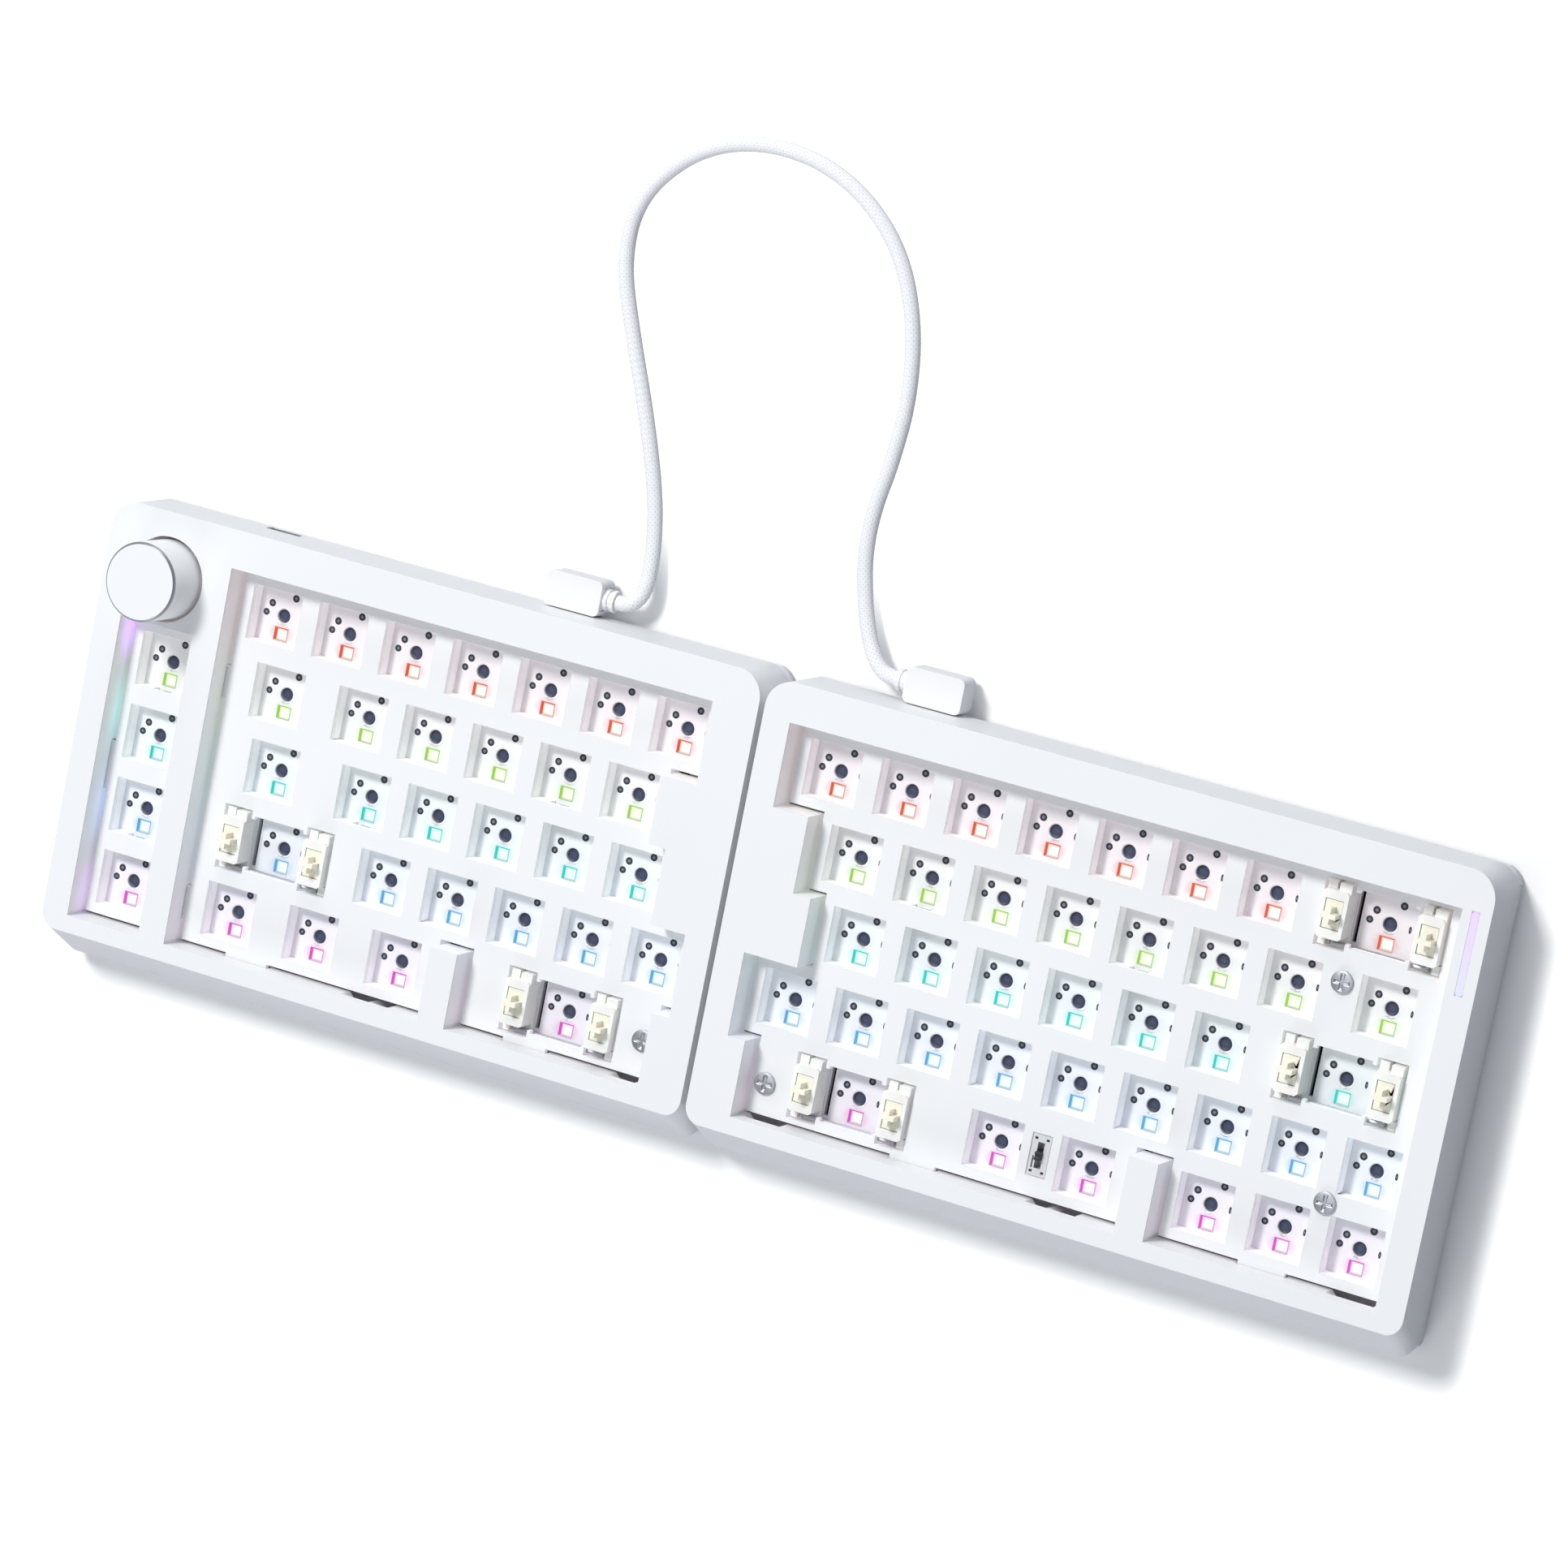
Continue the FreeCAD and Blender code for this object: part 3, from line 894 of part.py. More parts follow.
def encoder():
    base = box("encoder_base", f"{KNOB_X} - Sizes.encoder_size / 2", f"{KNOB_Y} - Sizes.encoder_size / 2",
               "Sizes.pcb_top", "Sizes.encoder_size", "Sizes.encoder_size", "Sizes.encoder_height")
    bushing = prism("encoder_bushing", 16, KNOB_X, KNOB_Y, "Sizes.pcb_top + Sizes.encoder_height",
                    "Sizes.bushing_diameter", "Sizes.bushing_height")
    bore = prism("encoder_bore", 16, KNOB_X, KNOB_Y, "Sizes.pcb_top + Sizes.encoder_floor",
                 "Sizes.shaft_diameter + 2 * Sizes.shaft_room", "30")
    room = "(Sizes.plunger_size + 2 * Sizes.plunger_room)"
    chamber = box("encoder_chamber", f"{KNOB_X} - {room} / 2", f"{KNOB_Y} - {room} / 2",
                  "Sizes.pcb_top + Sizes.encoder_floor", room, room, "Sizes.encoder_room")
    export("encoder_body", cut("encoder_solid", fuse("encoder_whole", [base, bushing]), [bore, chamber]), left)
    shaft = rod("encoder_rod", KNOB_X, KNOB_Y, "Sizes.shaft_bottom", "Sizes.shaft_diameter",
                "Sizes.shaft_top - Sizes.shaft_bottom")
    flat = box("encoder_flat", f"{KNOB_X} + Sizes.shaft_flat", f"{KNOB_Y} - 5", "Sizes.knob_bottom", "5", "10", "20")
    export("encoder_shaft", cut("encoder_shaft_solid", shaft, [flat]), left)
    plunger = box("plunger_block", f"{KNOB_X} - Sizes.plunger_size / 2", f"{KNOB_Y} - Sizes.plunger_size / 2",
                  "Sizes.shaft_bottom - Sizes.plunger_gap - Sizes.plunger_thickness", "Sizes.plunger_size",
                  "Sizes.plunger_size", "Sizes.plunger_thickness")
    export("encoder_plunger", chamfered("plunger_solid", plunger, 0.8, upright), left)


# Light bar and mode switch


def light_bar():
    bar = span_box("bar_block", f"{BAR_X} - Sizes.bar_width / 2", f"{BAR_X} + Sizes.bar_width / 2",
                   f"{BAR_Y} - Sizes.bar_length / 2", f"{BAR_Y} + Sizes.bar_length / 2",
                   f"{TOP} - Sizes.bar_depth", TOP)
    export("light_bar", rounded("bar_lens", bar, size("bar_width") / 2 - 0.02, upright), right)


def mode_switch():
    low = "Sizes.pcb_top"
    frame = span_box("mode_frame", f"{SWITCH_X} - Sizes.switch_width / 2", f"{SWITCH_X} + Sizes.switch_width / 2",
                     f"{SWITCH_Y} - Sizes.switch_length / 2", f"{SWITCH_Y} + Sizes.switch_length / 2",
                     low, f"{low} + Sizes.switch_height")
    reach = "(Sizes.lever_length / 2 + Sizes.lever_travel / 2 + Sizes.lever_room)"
    slot = span_box("mode_frame_slot", f"{SWITCH_X} - Sizes.lever_width / 2 - Sizes.lever_room",
                    f"{SWITCH_X} + Sizes.lever_width / 2 + Sizes.lever_room", f"{SWITCH_Y} - {reach}",
                    f"{SWITCH_Y} + {reach}", f"{low} + 1", f"{low} + Sizes.switch_height + 1")
    export("mode_switch_body", cut("mode_body", frame, [slot]), right)
    lever = span_box("mode_lever", f"{SWITCH_X} - Sizes.lever_width / 2", f"{SWITCH_X} + Sizes.lever_width / 2",
                     f"{SWITCH_Y} - Sizes.lever_length / 2", f"{SWITCH_Y} + Sizes.lever_length / 2",
                     f"{low} + 1 + Sizes.lever_room", f"{low} + Sizes.switch_height + Sizes.lever_rise")
    rib = span_box("lever_groove", f"{SWITCH_X} - Sizes.lever_width", f"{SWITCH_X} + Sizes.lever_width",
                   f"{SWITCH_Y} - 0.3", f"{SWITCH_Y} + 0.3", f"{low} + Sizes.switch_height + Sizes.lever_rise - 0.4",
                   f"{low} + Sizes.switch_height + Sizes.lever_rise + 1")
    export("mode_switch_lever", cut("lever_solid", lever, [rib]), right)


# Bridge cable: right-angle plugs and a loose loop behind the halves

PLUG_Z = f"({PCB_BOTTOM} - Sizes.port_height / 2)"


def plug(half, at, toward):
    """A moulded right-angle plug: blade, body and ringed strain relief along X."""
    node = f"{half.side}_cable_plug"
    start = f"({BACK} + Sizes.plug_gap)"
    blank = span_box(node + "_blank", f"Sizes.{at} - Sizes.plug_width / 2", f"Sizes.{at} + Sizes.plug_width / 2",
                     start, f"{start} + Sizes.plug_depth", f"{PLUG_Z} - Sizes.plug_height / 2",
                     f"{PLUG_Z} + Sizes.plug_height / 2")
    body = rounded(node + "_body", blank, size("plug_round"), upright)
    blade = span_box(node + "_blade", f"Sizes.{at} - Sizes.blade_width / 2", f"Sizes.{at} + Sizes.blade_width / 2",
                     f"{start} - Sizes.blade_length", f"{start} + 0.5", f"{PLUG_Z} - Sizes.blade_height / 2",
                     f"{PLUG_Z} + Sizes.blade_height / 2")
    hollow = span_box(node + "_blade_room", f"Sizes.{at} - Sizes.blade_width / 2 + 0.3",
                      f"Sizes.{at} + Sizes.blade_width / 2 - 0.3", f"{start} - Sizes.blade_length - 1",
                      f"{start} - 0.4", f"{PLUG_Z} - 0.75", f"{PLUG_Z} + 0.75")
    blade = cut(node + "_blade_shell", blade, [hollow])
    side = f"Sizes.{at} + {toward} * Sizes.plug_width / 2"
    middle = f"{start} + Sizes.plug_depth / 2"
    begin = f"{side} - 0.5" if toward > 0 else f"{side} - Sizes.relief_length"
    neck = bar(node + "_neck", 12, begin, middle, PLUG_Z, "Sizes.relief_neck", "Sizes.relief_length + 0.5")
    ring = "((Sizes.relief_length - Sizes.relief_groove) / 2)"
    collar_start = f"{side} - 0.5" if toward > 0 else f"{side} - {ring}"
    collar = bar(node + "_collar", 12, collar_start, middle, PLUG_Z, "Sizes.relief_diameter", f"{ring} + 0.5")
    end_start = f"{side} + Sizes.relief_length - {ring}" if toward > 0 else f"{side} - Sizes.relief_length"
    end = bar(node + "_end_ring", 12, end_start, middle, PLUG_Z, "Sizes.relief_diameter", ring)
    export(node, fuse(node + "_solid", [body, blade, neck, collar, end]), half)


# Centre line of the cable where it lies behind the halves, in the left key frame
CABLE_POINTS = [
    (102.2, 26.2, 6.1), (103.7, 28.9, 5.6), (103.8, 33.6, 4.7), (102.6, 41.6, 3.3), (100.0, 52.6, 2.3),
    (93.8, 70.0, 2.0), (85.4, 90.0, 2.0), (79.5, 106.2, 2.0), (80.4, 121.9, 2.0), (91.6, 135.2, 2.0),
    (106.4, 141.6, 2.0), (123.8, 141.6, 2.0), (138.9, 135.6, 2.0), (151.4, 124.0, 2.0), (158.4, 108.1, 2.0),
    (160.9, 90.6, 2.0), (159.7, 74.6, 2.0), (157.4, 62.2, 2.0), (157.6, 51.6, 2.4), (160.0, 42.2, 3.4),
    (162.8, 35.0, 4.5), (165.6, 29.9, 5.5), (168.4, 26.5, 6.1),
]


CABLE_SIDES = 6


def cable_route():
    """Points of the cable in the world frame, from the left plug's relief to the right one's."""
    across, back = read(left.shift), read(SHIFT_Y)
    exit_y = read(f"{SHIFT_Y} + {BACK} + Sizes.plug_gap + Sizes.plug_depth / 2")
    exit_z = read(PLUG_Z)
    start_x = read(f"{left.shift} + Sizes.left_port_at + Sizes.plug_width / 2 + Sizes.relief_length")
    end_x = read(f"{right.shift} + Sizes.right_port_at - Sizes.plug_width / 2 - Sizes.relief_length")
    points = [(x + across, y + back, z) for x, y, z in CABLE_POINTS]
    first, last = (start_x, exit_y, exit_z), (end_x, exit_y, exit_z)
    return [first, (start_x + 2.6, exit_y, exit_z)] + points + [(end_x - 2.9, exit_y, exit_z), last]


def cable():
    """A tube of straight runs joined by tangent arcs. Its section has CABLE_SIDES equal sides."""
    points = [FreeCAD.Vector(*point) for point in cable_route()]
    radius = size("cable_diameter") / 2
    edges, previous, length, radii, runs = [], points[0], 0.0, [], []
    for before, corner, after in zip(points, points[1:], points[2:]):
        one, two = before - corner, after - corner
        turn = math.pi - one.getAngle(two)
        shorter = min(one.Length, two.Length)
        bend = 0.45 * shorter / math.tan(turn / 2)
        cutback = 0.45 * shorter
        one.normalize()
        two.normalize()
        start, end = corner + one * cutback, corner + two * cutback
        runs.append(round(shorter, 1))
        bisector = one + two
        bisector.normalize()
        middle = corner + bisector * (bend / math.cos(turn / 2) - bend)
        edges.append(Part.LineSegment(previous, start).toShape())
        edges.append(Part.Arc(start, middle, end).toShape())
        length += (start - previous).Length + bend * turn
        radii.append(round(bend, 1))
        previous = end
    edges.append(Part.LineSegment(previous, points[-1]).toShape())
    length += (points[-1] - previous).Length
    path = Part.Wire(edges)
    rim = []
    for number in range(CABLE_SIDES + 1):
        angle = 2 * math.pi * number / CABLE_SIDES
        rim.append(points[0] + FreeCAD.Vector(0, radius * math.cos(angle), radius * math.sin(angle)))
    tube = path.makePipeShell([Part.makePolygon(rim)], True, False)
    thing = feature("bridge_cable_tube", tube)
    section = 0.5 * CABLE_SIDES * radius ** 2 * math.sin(2 * math.pi / CABLE_SIDES)
    print("cable length %.1f, radii %s, shorter runs %s" % (length, radii, runs))
    print("cable volume %.1f, section times length %.1f" % (tube.Volume, section * length))
    thing.Label = "bridge_cable"
    exports.append(thing)


for half in (left, right):
    top_case(half)
    bottom_case(half)
    plate(half)
    circuit_board(half)
    standoffs(half)
    plate_screws(half)
    gaskets(half)
    case_foam(half)
    rubber_feet(half)
    case_screws(half)
    flip_feet(half)
    ports(half)
    for key, at, row in half.stabs:
        stabiliser(half, key, at, row)
battery()
knob()
encoder()
light_bar()
mode_switch()
plug(left, "left_port_at", 1)
plug(right, "right_port_at", -1)
cable()
doc.recompute()

# Nothing is written unless every object and every finished shape is sound
for thing in doc.Objects:
    if "Invalid" in thing.State or "Error" in thing.State:
        raise RuntimeError("failed object: " + thing.Name)
for thing in exports:
    if thing.Shape.isNull() or not thing.Shape.isValid() or not thing.Shape.Solids:
        raise RuntimeError("unsound sub-part: " + thing.Label)
for thing in exports:
    thing.Shape.exportStep(os.path.join("parts", thing.Label + ".step"))
print("sub-parts written:", len(exports))
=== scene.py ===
# %% [markdown]
# A split keyboard kit in white: two cases with open key wells, a switch plate and a lit circuit board
# in each, a knob, and a short braided cable between them. The shapes that fit and move come from the
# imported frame. This lesson gives them their finishes and adds the small visible pieces: the braid of
# the cable, the key lights, the screw heads and the holes for the switches' pins.

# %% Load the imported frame
import math
import bmesh
import bpy
import numpy as np
from mathutils import Matrix, Vector


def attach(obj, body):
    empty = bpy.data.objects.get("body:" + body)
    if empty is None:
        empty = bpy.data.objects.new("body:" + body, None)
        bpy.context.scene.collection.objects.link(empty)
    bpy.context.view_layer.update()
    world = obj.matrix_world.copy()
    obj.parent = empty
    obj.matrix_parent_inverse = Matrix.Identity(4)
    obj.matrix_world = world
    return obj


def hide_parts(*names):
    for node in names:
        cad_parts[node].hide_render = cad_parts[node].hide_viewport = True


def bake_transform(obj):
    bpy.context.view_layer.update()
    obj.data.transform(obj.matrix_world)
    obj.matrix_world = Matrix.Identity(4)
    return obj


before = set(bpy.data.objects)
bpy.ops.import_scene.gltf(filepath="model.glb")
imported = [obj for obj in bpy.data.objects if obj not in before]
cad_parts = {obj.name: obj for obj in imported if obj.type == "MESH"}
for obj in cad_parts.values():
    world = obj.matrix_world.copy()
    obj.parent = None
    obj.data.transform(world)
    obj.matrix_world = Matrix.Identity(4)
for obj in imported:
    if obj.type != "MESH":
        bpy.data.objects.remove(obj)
scene = bpy.context.scene
scene.view_settings.view_transform = "Standard"
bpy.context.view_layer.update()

# %% [markdown]
# The key grid drives everything that repeats. Every key sits on a 19.05 mm pitch, so a row number and
# a place along the row, in key widths, give its centre. Typed coordinates would do as well, but this
# list reads like the keyboard. The two halves share the row lines and differ only in where they start.

# %% The key grid
PITCH = 0.01905
ROW_1_Y = 0.03915
LEFT_START, RIGHT_START = -0.14949375, -0.10768125
STARTS = {"left": LEFT_START, "right": RIGHT_START}
LEFT_KEYS = [(0.5, 1), (1.5, 1), (2.5, 1), (3.5, 1), (4.5, 1), (5.5, 1), (6.5, 1),
             (0.75, 2), (2.0, 2), (3.0, 2), (4.0, 2), (5.0, 2), (6.0, 2),
             (0.875, 3), (2.25, 3), (3.25, 3), (4.25, 3), (5.25, 3), (6.25, 3),
             (1.125, 4), (2.75, 4), (3.75, 4), (4.75, 4), (5.75, 4), (6.75, 4),
             (0.625, 5), (1.875, 5), (3.125, 5), (5.625, 5),
             (-1.0, 2), (-1.0, 3), (-1.0, 4), (-1.0, 5)]
RIGHT_KEYS = [(6.5, 1), (7.5, 1), (8.5, 1), (9.5, 1), (10.5, 1), (11.5, 1), (12.5, 1), (14.0, 1),
              (7.0, 2), (8.0, 2), (9.0, 2), (10.0, 2), (11.0, 2), (12.0, 2), (13.0, 2), (14.25, 2),
              (7.25, 3), (8.25, 3), (9.25, 3), (10.25, 3), (11.25, 3), (12.25, 3), (13.875, 3),
              (6.5, 4), (7.5, 4), (8.5, 4), (9.5, 4), (10.5, 4), (11.5, 4), (12.5, 4), (13.5, 4),
              (14.5, 4), (7.625, 5), (9.625, 5), (10.875, 5), (12.5, 5), (13.5, 5), (14.5, 5)]


def key_centres(keys, start):
    """Centre of each key: x = start + units * pitch, y = first row line - (row - 1) * pitch."""
    grid = np.array(keys, float)
    return np.stack([start + grid[:, 0] * PITCH, ROW_1_Y - (grid[:, 1] - 1) * PITCH], 1)


centres = {"left": key_centres(LEFT_KEYS, LEFT_START), "right": key_centres(RIGHT_KEYS, RIGHT_START)}
print("keys:", {side: len(found) for side, found in centres.items()})

# %% [markdown]
# The camera stands where the photograph was taken from. Its lens, place and tilt were solved from the
# corners of the switch openings, which lie on a known grid, so the render lines up with the picture.

# %% Camera
lens_data = bpy.data.cameras.new("photo_camera")
lens_data.sensor_width = 36.0
lens_data.lens = 151.256
lens_data.clip_start, lens_data.clip_end = 0.05, 30.0
camera = bpy.data.objects.new("photo_camera", lens_data)
camera.matrix_world = Matrix(((0.8864165, -0.2489616, 0.3902356, 0.622001),
                              (0.1916912, 0.9647911, 0.1800904, 0.318510),
                              (-0.4213315, -0.0848304, 0.9029306, 1.443808),
                              (0.0, 0.0, 0.0, 1.0)))
scene.collection.objects.link(camera)
scene.camera = camera
print("camera at", [round(v, 3) for v in camera.matrix_world.translation])

# %% [markdown]
# A surface here is a grid of points worked out at once with numpy. One helper turns any such grid into
# a closed mesh. A second one spins a profile round an upright axis, which makes pin holes and bores,
# and sets many copies in one mesh, where objects of their own would be slow to handle. A profile starts
# and ends on the axis, or ends where it began, so that the shape it sweeps has no open edge.

# %% Grid surfaces
def grid_mesh(name, points, uv=None, **values):
    """Closed mesh of one or more grids of points. Face (i, j) joins points (i, j), (i + 1, j),
    (i + 1, j + 1) and (i, j + 1), and the last column is joined to the first. Points that coincide, as
    at a pole, become one, and every face turns outwards. Each of values is a number kept per point."""
    copies, rows, columns = points.shape[:3]
    here = np.arange(copies * rows * columns).reshape(copies, rows, columns)
    beside = np.roll(here, -1, axis=2)
    quads = np.stack([here[:, :-1], here[:, 1:], beside[:, 1:], beside[:, :-1]], -1).reshape(-1, 4)
    mesh = bpy.data.meshes.new(name)
    mesh.vertices.add(here.size)
    mesh.vertices.foreach_set("co", points.astype(np.float32).ravel())
    mesh.loops.add(quads.size)
    mesh.loops.foreach_set("vertex_index", quads.astype(np.int32).ravel())
    mesh.polygons.add(len(quads))
    mesh.polygons.foreach_set("loop_start", np.arange(0, quads.size, 4, dtype=np.int32))
    if uv is not None:
        layer = mesh.uv_layers.new(name="surface")
        layer.data.foreach_set("uv", uv.reshape(-1, 2)[quads.ravel()].astype(np.float32).ravel())
    for label, value in values.items():
        kept = mesh.attributes.new(label, "FLOAT", "POINT")
        kept.data.foreach_set("value", value.astype(np.float32).ravel())
    mesh.update(calc_edges=True)
    work = bmesh.new()
    work.from_mesh(mesh)
    bmesh.ops.remove_doubles(work, verts=work.verts, dist=1e-6)
    bmesh.ops.dissolve_degenerate(work, edges=work.edges, dist=1e-7)
    bmesh.ops.recalc_face_normals(work, faces=work.faces)
    work.to_mesh(mesh)
    work.free()
    return mesh


def turned(places, profile, sides):
    """Grids of a profile spun round upright axes: x = cx + r cos a, y = cy + r sin a, with r and z from
    the profile. The surface coordinate is the turn, and r as a share of the widest r."""
    angle = np.linspace(0, 2 * np.pi, sides, endpoint=False)
    radius, height = np.array(profile, float).T
    x = places[:, 0, None, None] + radius[None, :, None] * np.cos(angle)
    y = places[:, 1, None, None] + radius[None, :, None] * np.sin(angle)
    z = np.broadcast_to(height[None, :, None], x.shape)
    uv = np.stack(np.broadcast_arrays(angle[None, :] / (2 * np.pi), (radius / radius.max())[:, None]), -1)
    return np.stack([x, y, z], -1), np.broadcast_to(uv, (len(places), *uv.shape))


def add_piece(mesh, material=None, body=None, smooth=True):
    """Links a mesh as an object of the same name, gives it a finish and lets it ride on a body."""
    mesh.polygons.foreach_set("use_smooth", np.full(len(mesh.polygons), smooth))
    if material:
        mesh.materials.append(material)
    piece = bpy.data.objects.new(mesh.name, mesh)
    scene.collection.objects.link(piece)
    if body:
        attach(piece, body)
    print(piece.name, len(mesh.vertices), "points")
    return piece


print("surface helpers ready")

# %% [markdown]
# The bridge cable leaves the left plug along the back wall, swings out into one loose loop and comes
# back to the right plug. Its line is a smooth spline through the same points as the solid cable. They
# were chosen over the photograph, because a cable on a desk follows no formula.

# %% The cable's line
CABLE_MM = [(102.2, 26.2, 6.1), (103.7, 28.9, 5.6), (103.8, 33.6, 4.7), (102.6, 41.6, 3.3),
            (100.0, 52.6, 2.3), (93.8, 70.0, 2.0), (85.4, 90.0, 2.0), (79.5, 106.2, 2.0),
            (80.4, 121.9, 2.0), (91.6, 135.2, 2.0), (106.4, 141.6, 2.0), (123.8, 141.6, 2.0),
            (138.9, 135.6, 2.0), (151.4, 124.0, 2.0), (158.4, 108.1, 2.0), (160.9, 90.6, 2.0),
            (159.7, 74.6, 2.0), (157.4, 62.2, 2.0), (157.6, 51.6, 2.4), (160.0, 42.2, 3.4),
            (162.8, 35.0, 4.5), (165.6, 29.9, 5.5), (168.4, 26.5, 6.1)]
CABLE_START, CABLE_END = (-0.05209375, 0.064025, 0.0063), (0.02481875, 0.064025, 0.0063)
START_LEAD, END_LEAD = (0.0026, 0, 0), (0.0029, 0, 0)
route = np.array(CABLE_MM) / 1000 + [LEFT_START, ROW_1_Y, 0]
route = np.vstack([CABLE_START, np.add(CABLE_START, START_LEAD), route,
                   np.subtract(CABLE_END, END_LEAD), CABLE_END])
line_data = bpy.data.curves.new("cable_line", "CURVE")
line_data.dimensions = "3D"
line_data.resolution_u = 44
spline = line_data.splines.new("NURBS")
spline.points.add(len(route) - 1)
spline.points.foreach_set("co", np.hstack([route, np.ones((len(route), 1))]).ravel())
spline.order_u = 3
spline.use_endpoint_u = True
line = bpy.data.objects.new("cable_line", line_data)
scene.collection.objects.link(line)
bpy.context.view_layer.update()
traced = bpy.data.meshes.new_from_object(line)
path = np.zeros(len(traced.vertices) * 3)
traced.vertices.foreach_get("co", path)
path = path.reshape(-1, 3)
bpy.data.objects.remove(line)
steps = np.linalg.norm(np.diff(path, axis=0), axis=1)
travelled = np.concatenate([[0], np.cumsum(steps)])
print("cable line:", len(path), "points,", round(travelled[-1] * 1000, 1), "mm")

# %% [markdown]
# The braided sleeve is a tube round that line: two families of strands wind round it in opposite
# directions, and where they cross one lies over the other, which gives the small diamonds. Single
# strands as tubes of their own would take ten times the faces, so the strands are raised ridges on one
# skin, and each point keeps how far it is raised, for the finish to read.

# %% The braided sleeve
SLEEVE_RADIUS, STRANDS, RELIEF, AROUND = 0.00186, 9, 0.00012, 54


def braided_tube(points, along, sides):
    """Tube round a line. Its radius is r0 + relief * max(ridge(a) * over, ridge(b) * under), where
    a = strands * turn + along / lay and b = strands * turn - along / lay number the two families of
    strands, ridge is the squared sine across one strand, and over and under swap at each crossing. A
    row of equal points at each end closes the tube."""
    forward = np.gradient(points, axis=0)
    forward /= np.linalg.norm(forward, axis=1)[:, None]
    sideways = np.cross(forward, [0, 0, 1.0])
    sideways /= np.linalg.norm(sideways, axis=1)[:, None]
    upwards = np.cross(sideways, forward)
    turn = np.linspace(0, 1, sides, endpoint=False)[None, :]
    lay = 2 * np.pi * SLEEVE_RADIUS / STRANDS
    a = STRANDS * turn + along[:, None] / lay
    b = STRANDS * turn - along[:, None] / lay
    over = 0.5 + 0.5 * np.sin(np.pi * (a + b)) * np.sin(np.pi * (a - b))
    raised = np.maximum(np.sin(np.pi * a) ** 2 * over, np.sin(np.pi * b) ** 2 * (1 - over))
    radius = SLEEVE_RADIUS + RELIEF * raised
    around = 2 * np.pi * turn
    tube = (points[:, None] + (radius * np.cos(around))[..., None] * sideways[:, None]
            + (radius * np.sin(around))[..., None] * upwards[:, None])
    uv = np.stack(np.broadcast_arrays(turn, along[:, None]), -1)
    ends = np.broadcast_to(points[[0, -1], None], (2, sides, 3))
    tube = np.concatenate([ends[:1], tube, ends[1:]])
    uv, raised = (np.concatenate([grid[:1], grid, grid[-1:]]) for grid in (uv, raised))
    return tube[None], uv, raised


tube, tube_uv, raised = braided_tube(path, travelled, AROUND)
cable = add_piece(grid_mesh("bridge_cable_sleeve", tube, tube_uv, raised=raised))
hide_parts("bridge_cable")
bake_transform(cable)

# %% [markdown]
# A finish is a small network of shader nodes. Written out link by link it grows long, so a few helpers
# add a node together with what feeds it: an input is either a plain value or the socket of another
# node. The rest of the lesson then reads like a formula.

# %% Node helpers
def add_node(tree, kind, inputs, **settings):
    """Adds a shader node and feeds its inputs, each from a value or from another node's socket."""
    node = tree.nodes.new("ShaderNode" + kind)
    for name, value in settings.items():
        setattr(node, name, value)
    feed(tree, node, inputs)
    return node


def feed(tree, node, inputs):
    """Sets or links the named inputs of a node. A colour of three values gets its fourth."""
    for name, value in inputs.items():
        socket = node.inputs[name]
        if isinstance(value, bpy.types.NodeSocket):
            tree.links.new(value, socket)
        elif socket.type == "RGBA":
            socket.default_value = (*value, 1)
        else:
            socket.default_value = value


def maths(tree, operation, *values):
    """Arithmetic on numbers."""
    return add_node(tree, "Math", dict(enumerate(values)), operation=operation).outputs[0]


def vector_maths(tree, operation, *values):
    """Arithmetic on vectors. A length or a distance is a number."""
    node = add_node(tree, "VectorMath", dict(enumerate(values)), operation=operation)
    return node.outputs["Value" if operation in ("LENGTH", "DISTANCE") else "Vector"]


def parts_of(tree, vector):
    """X, Y and Z of a vector."""
    return add_node(tree, "SeparateXYZ", {0: vector}).outputs


def ramp_of(tree, value, low, high):
    """Rises smoothly from 0 at low to 1 at high."""
    limits = {"Value": value, "From Min": low, "From Max": high}
    return add_node(tree, "MapRange", limits, interpolation_type="SMOOTHSTEP").outputs[0]


def mixed(tree, share, one, two):
    """A colour that goes from one to the other as the share goes from 0 to 1."""
    return add_node(tree, "Mix", {"Factor": share, "A": one, "B": two}, data_type="RGBA").outputs["Result"]


def colour_ramp(tree, value, stops, kind="LINEAR"):
    """Colours along a value from 0 to 1, given as a list of (value, colour)."""
    ramp = add_node(tree, "ValToRGB", {0: value})
    ramp.color_ramp.interpolation = kind
    elements = ramp.color_ramp.elements
    elements.remove(elements[-1])
    for number, (where, colour) in enumerate(stops):
        stop = elements[0] if number == 0 else elements.new(where)
        stop.position = where
        stop.color = (*colour, 1)
    return ramp.outputs[0]


def shader_of(material):
    """The node tree of a material and its Principled shader."""
    material.use_nodes = True
    return material.node_tree, material.node_tree.nodes["Principled BSDF"]


def place_in(tree):
    """The place of a point in the object, which no motion or camera changes."""
    return add_node(tree, "TexCoord", {}).outputs["Object"]


def surface_in(tree):
    """The two surface coordinates of a point, as X and Y."""
    return parts_of(tree, add_node(tree, "TexCoord", {}).outputs["UV"])


print("node helpers ready")

# %% [markdown]
# The part stands on a white floor that keeps its shadow. Away from the keyboard the floor fades to plain
# white for the camera, so no horizon shows and no more light is needed. Seen from below the floor is
# clear, so that the underside can be looked at too, and rays that meet the floor a few millimetres after
# they leave the part pass through it, which lights that side.

# %% Floor
HALF_FOOTPRINT = (0.186, 0.059, 0)
FADE_START, FADE_END = 0.004, 0.036
CLOSE_BY = 0.003
SHADED, SEEN = (0.52, 0.53, 0.56), (0.98, 0.98, 0.98)

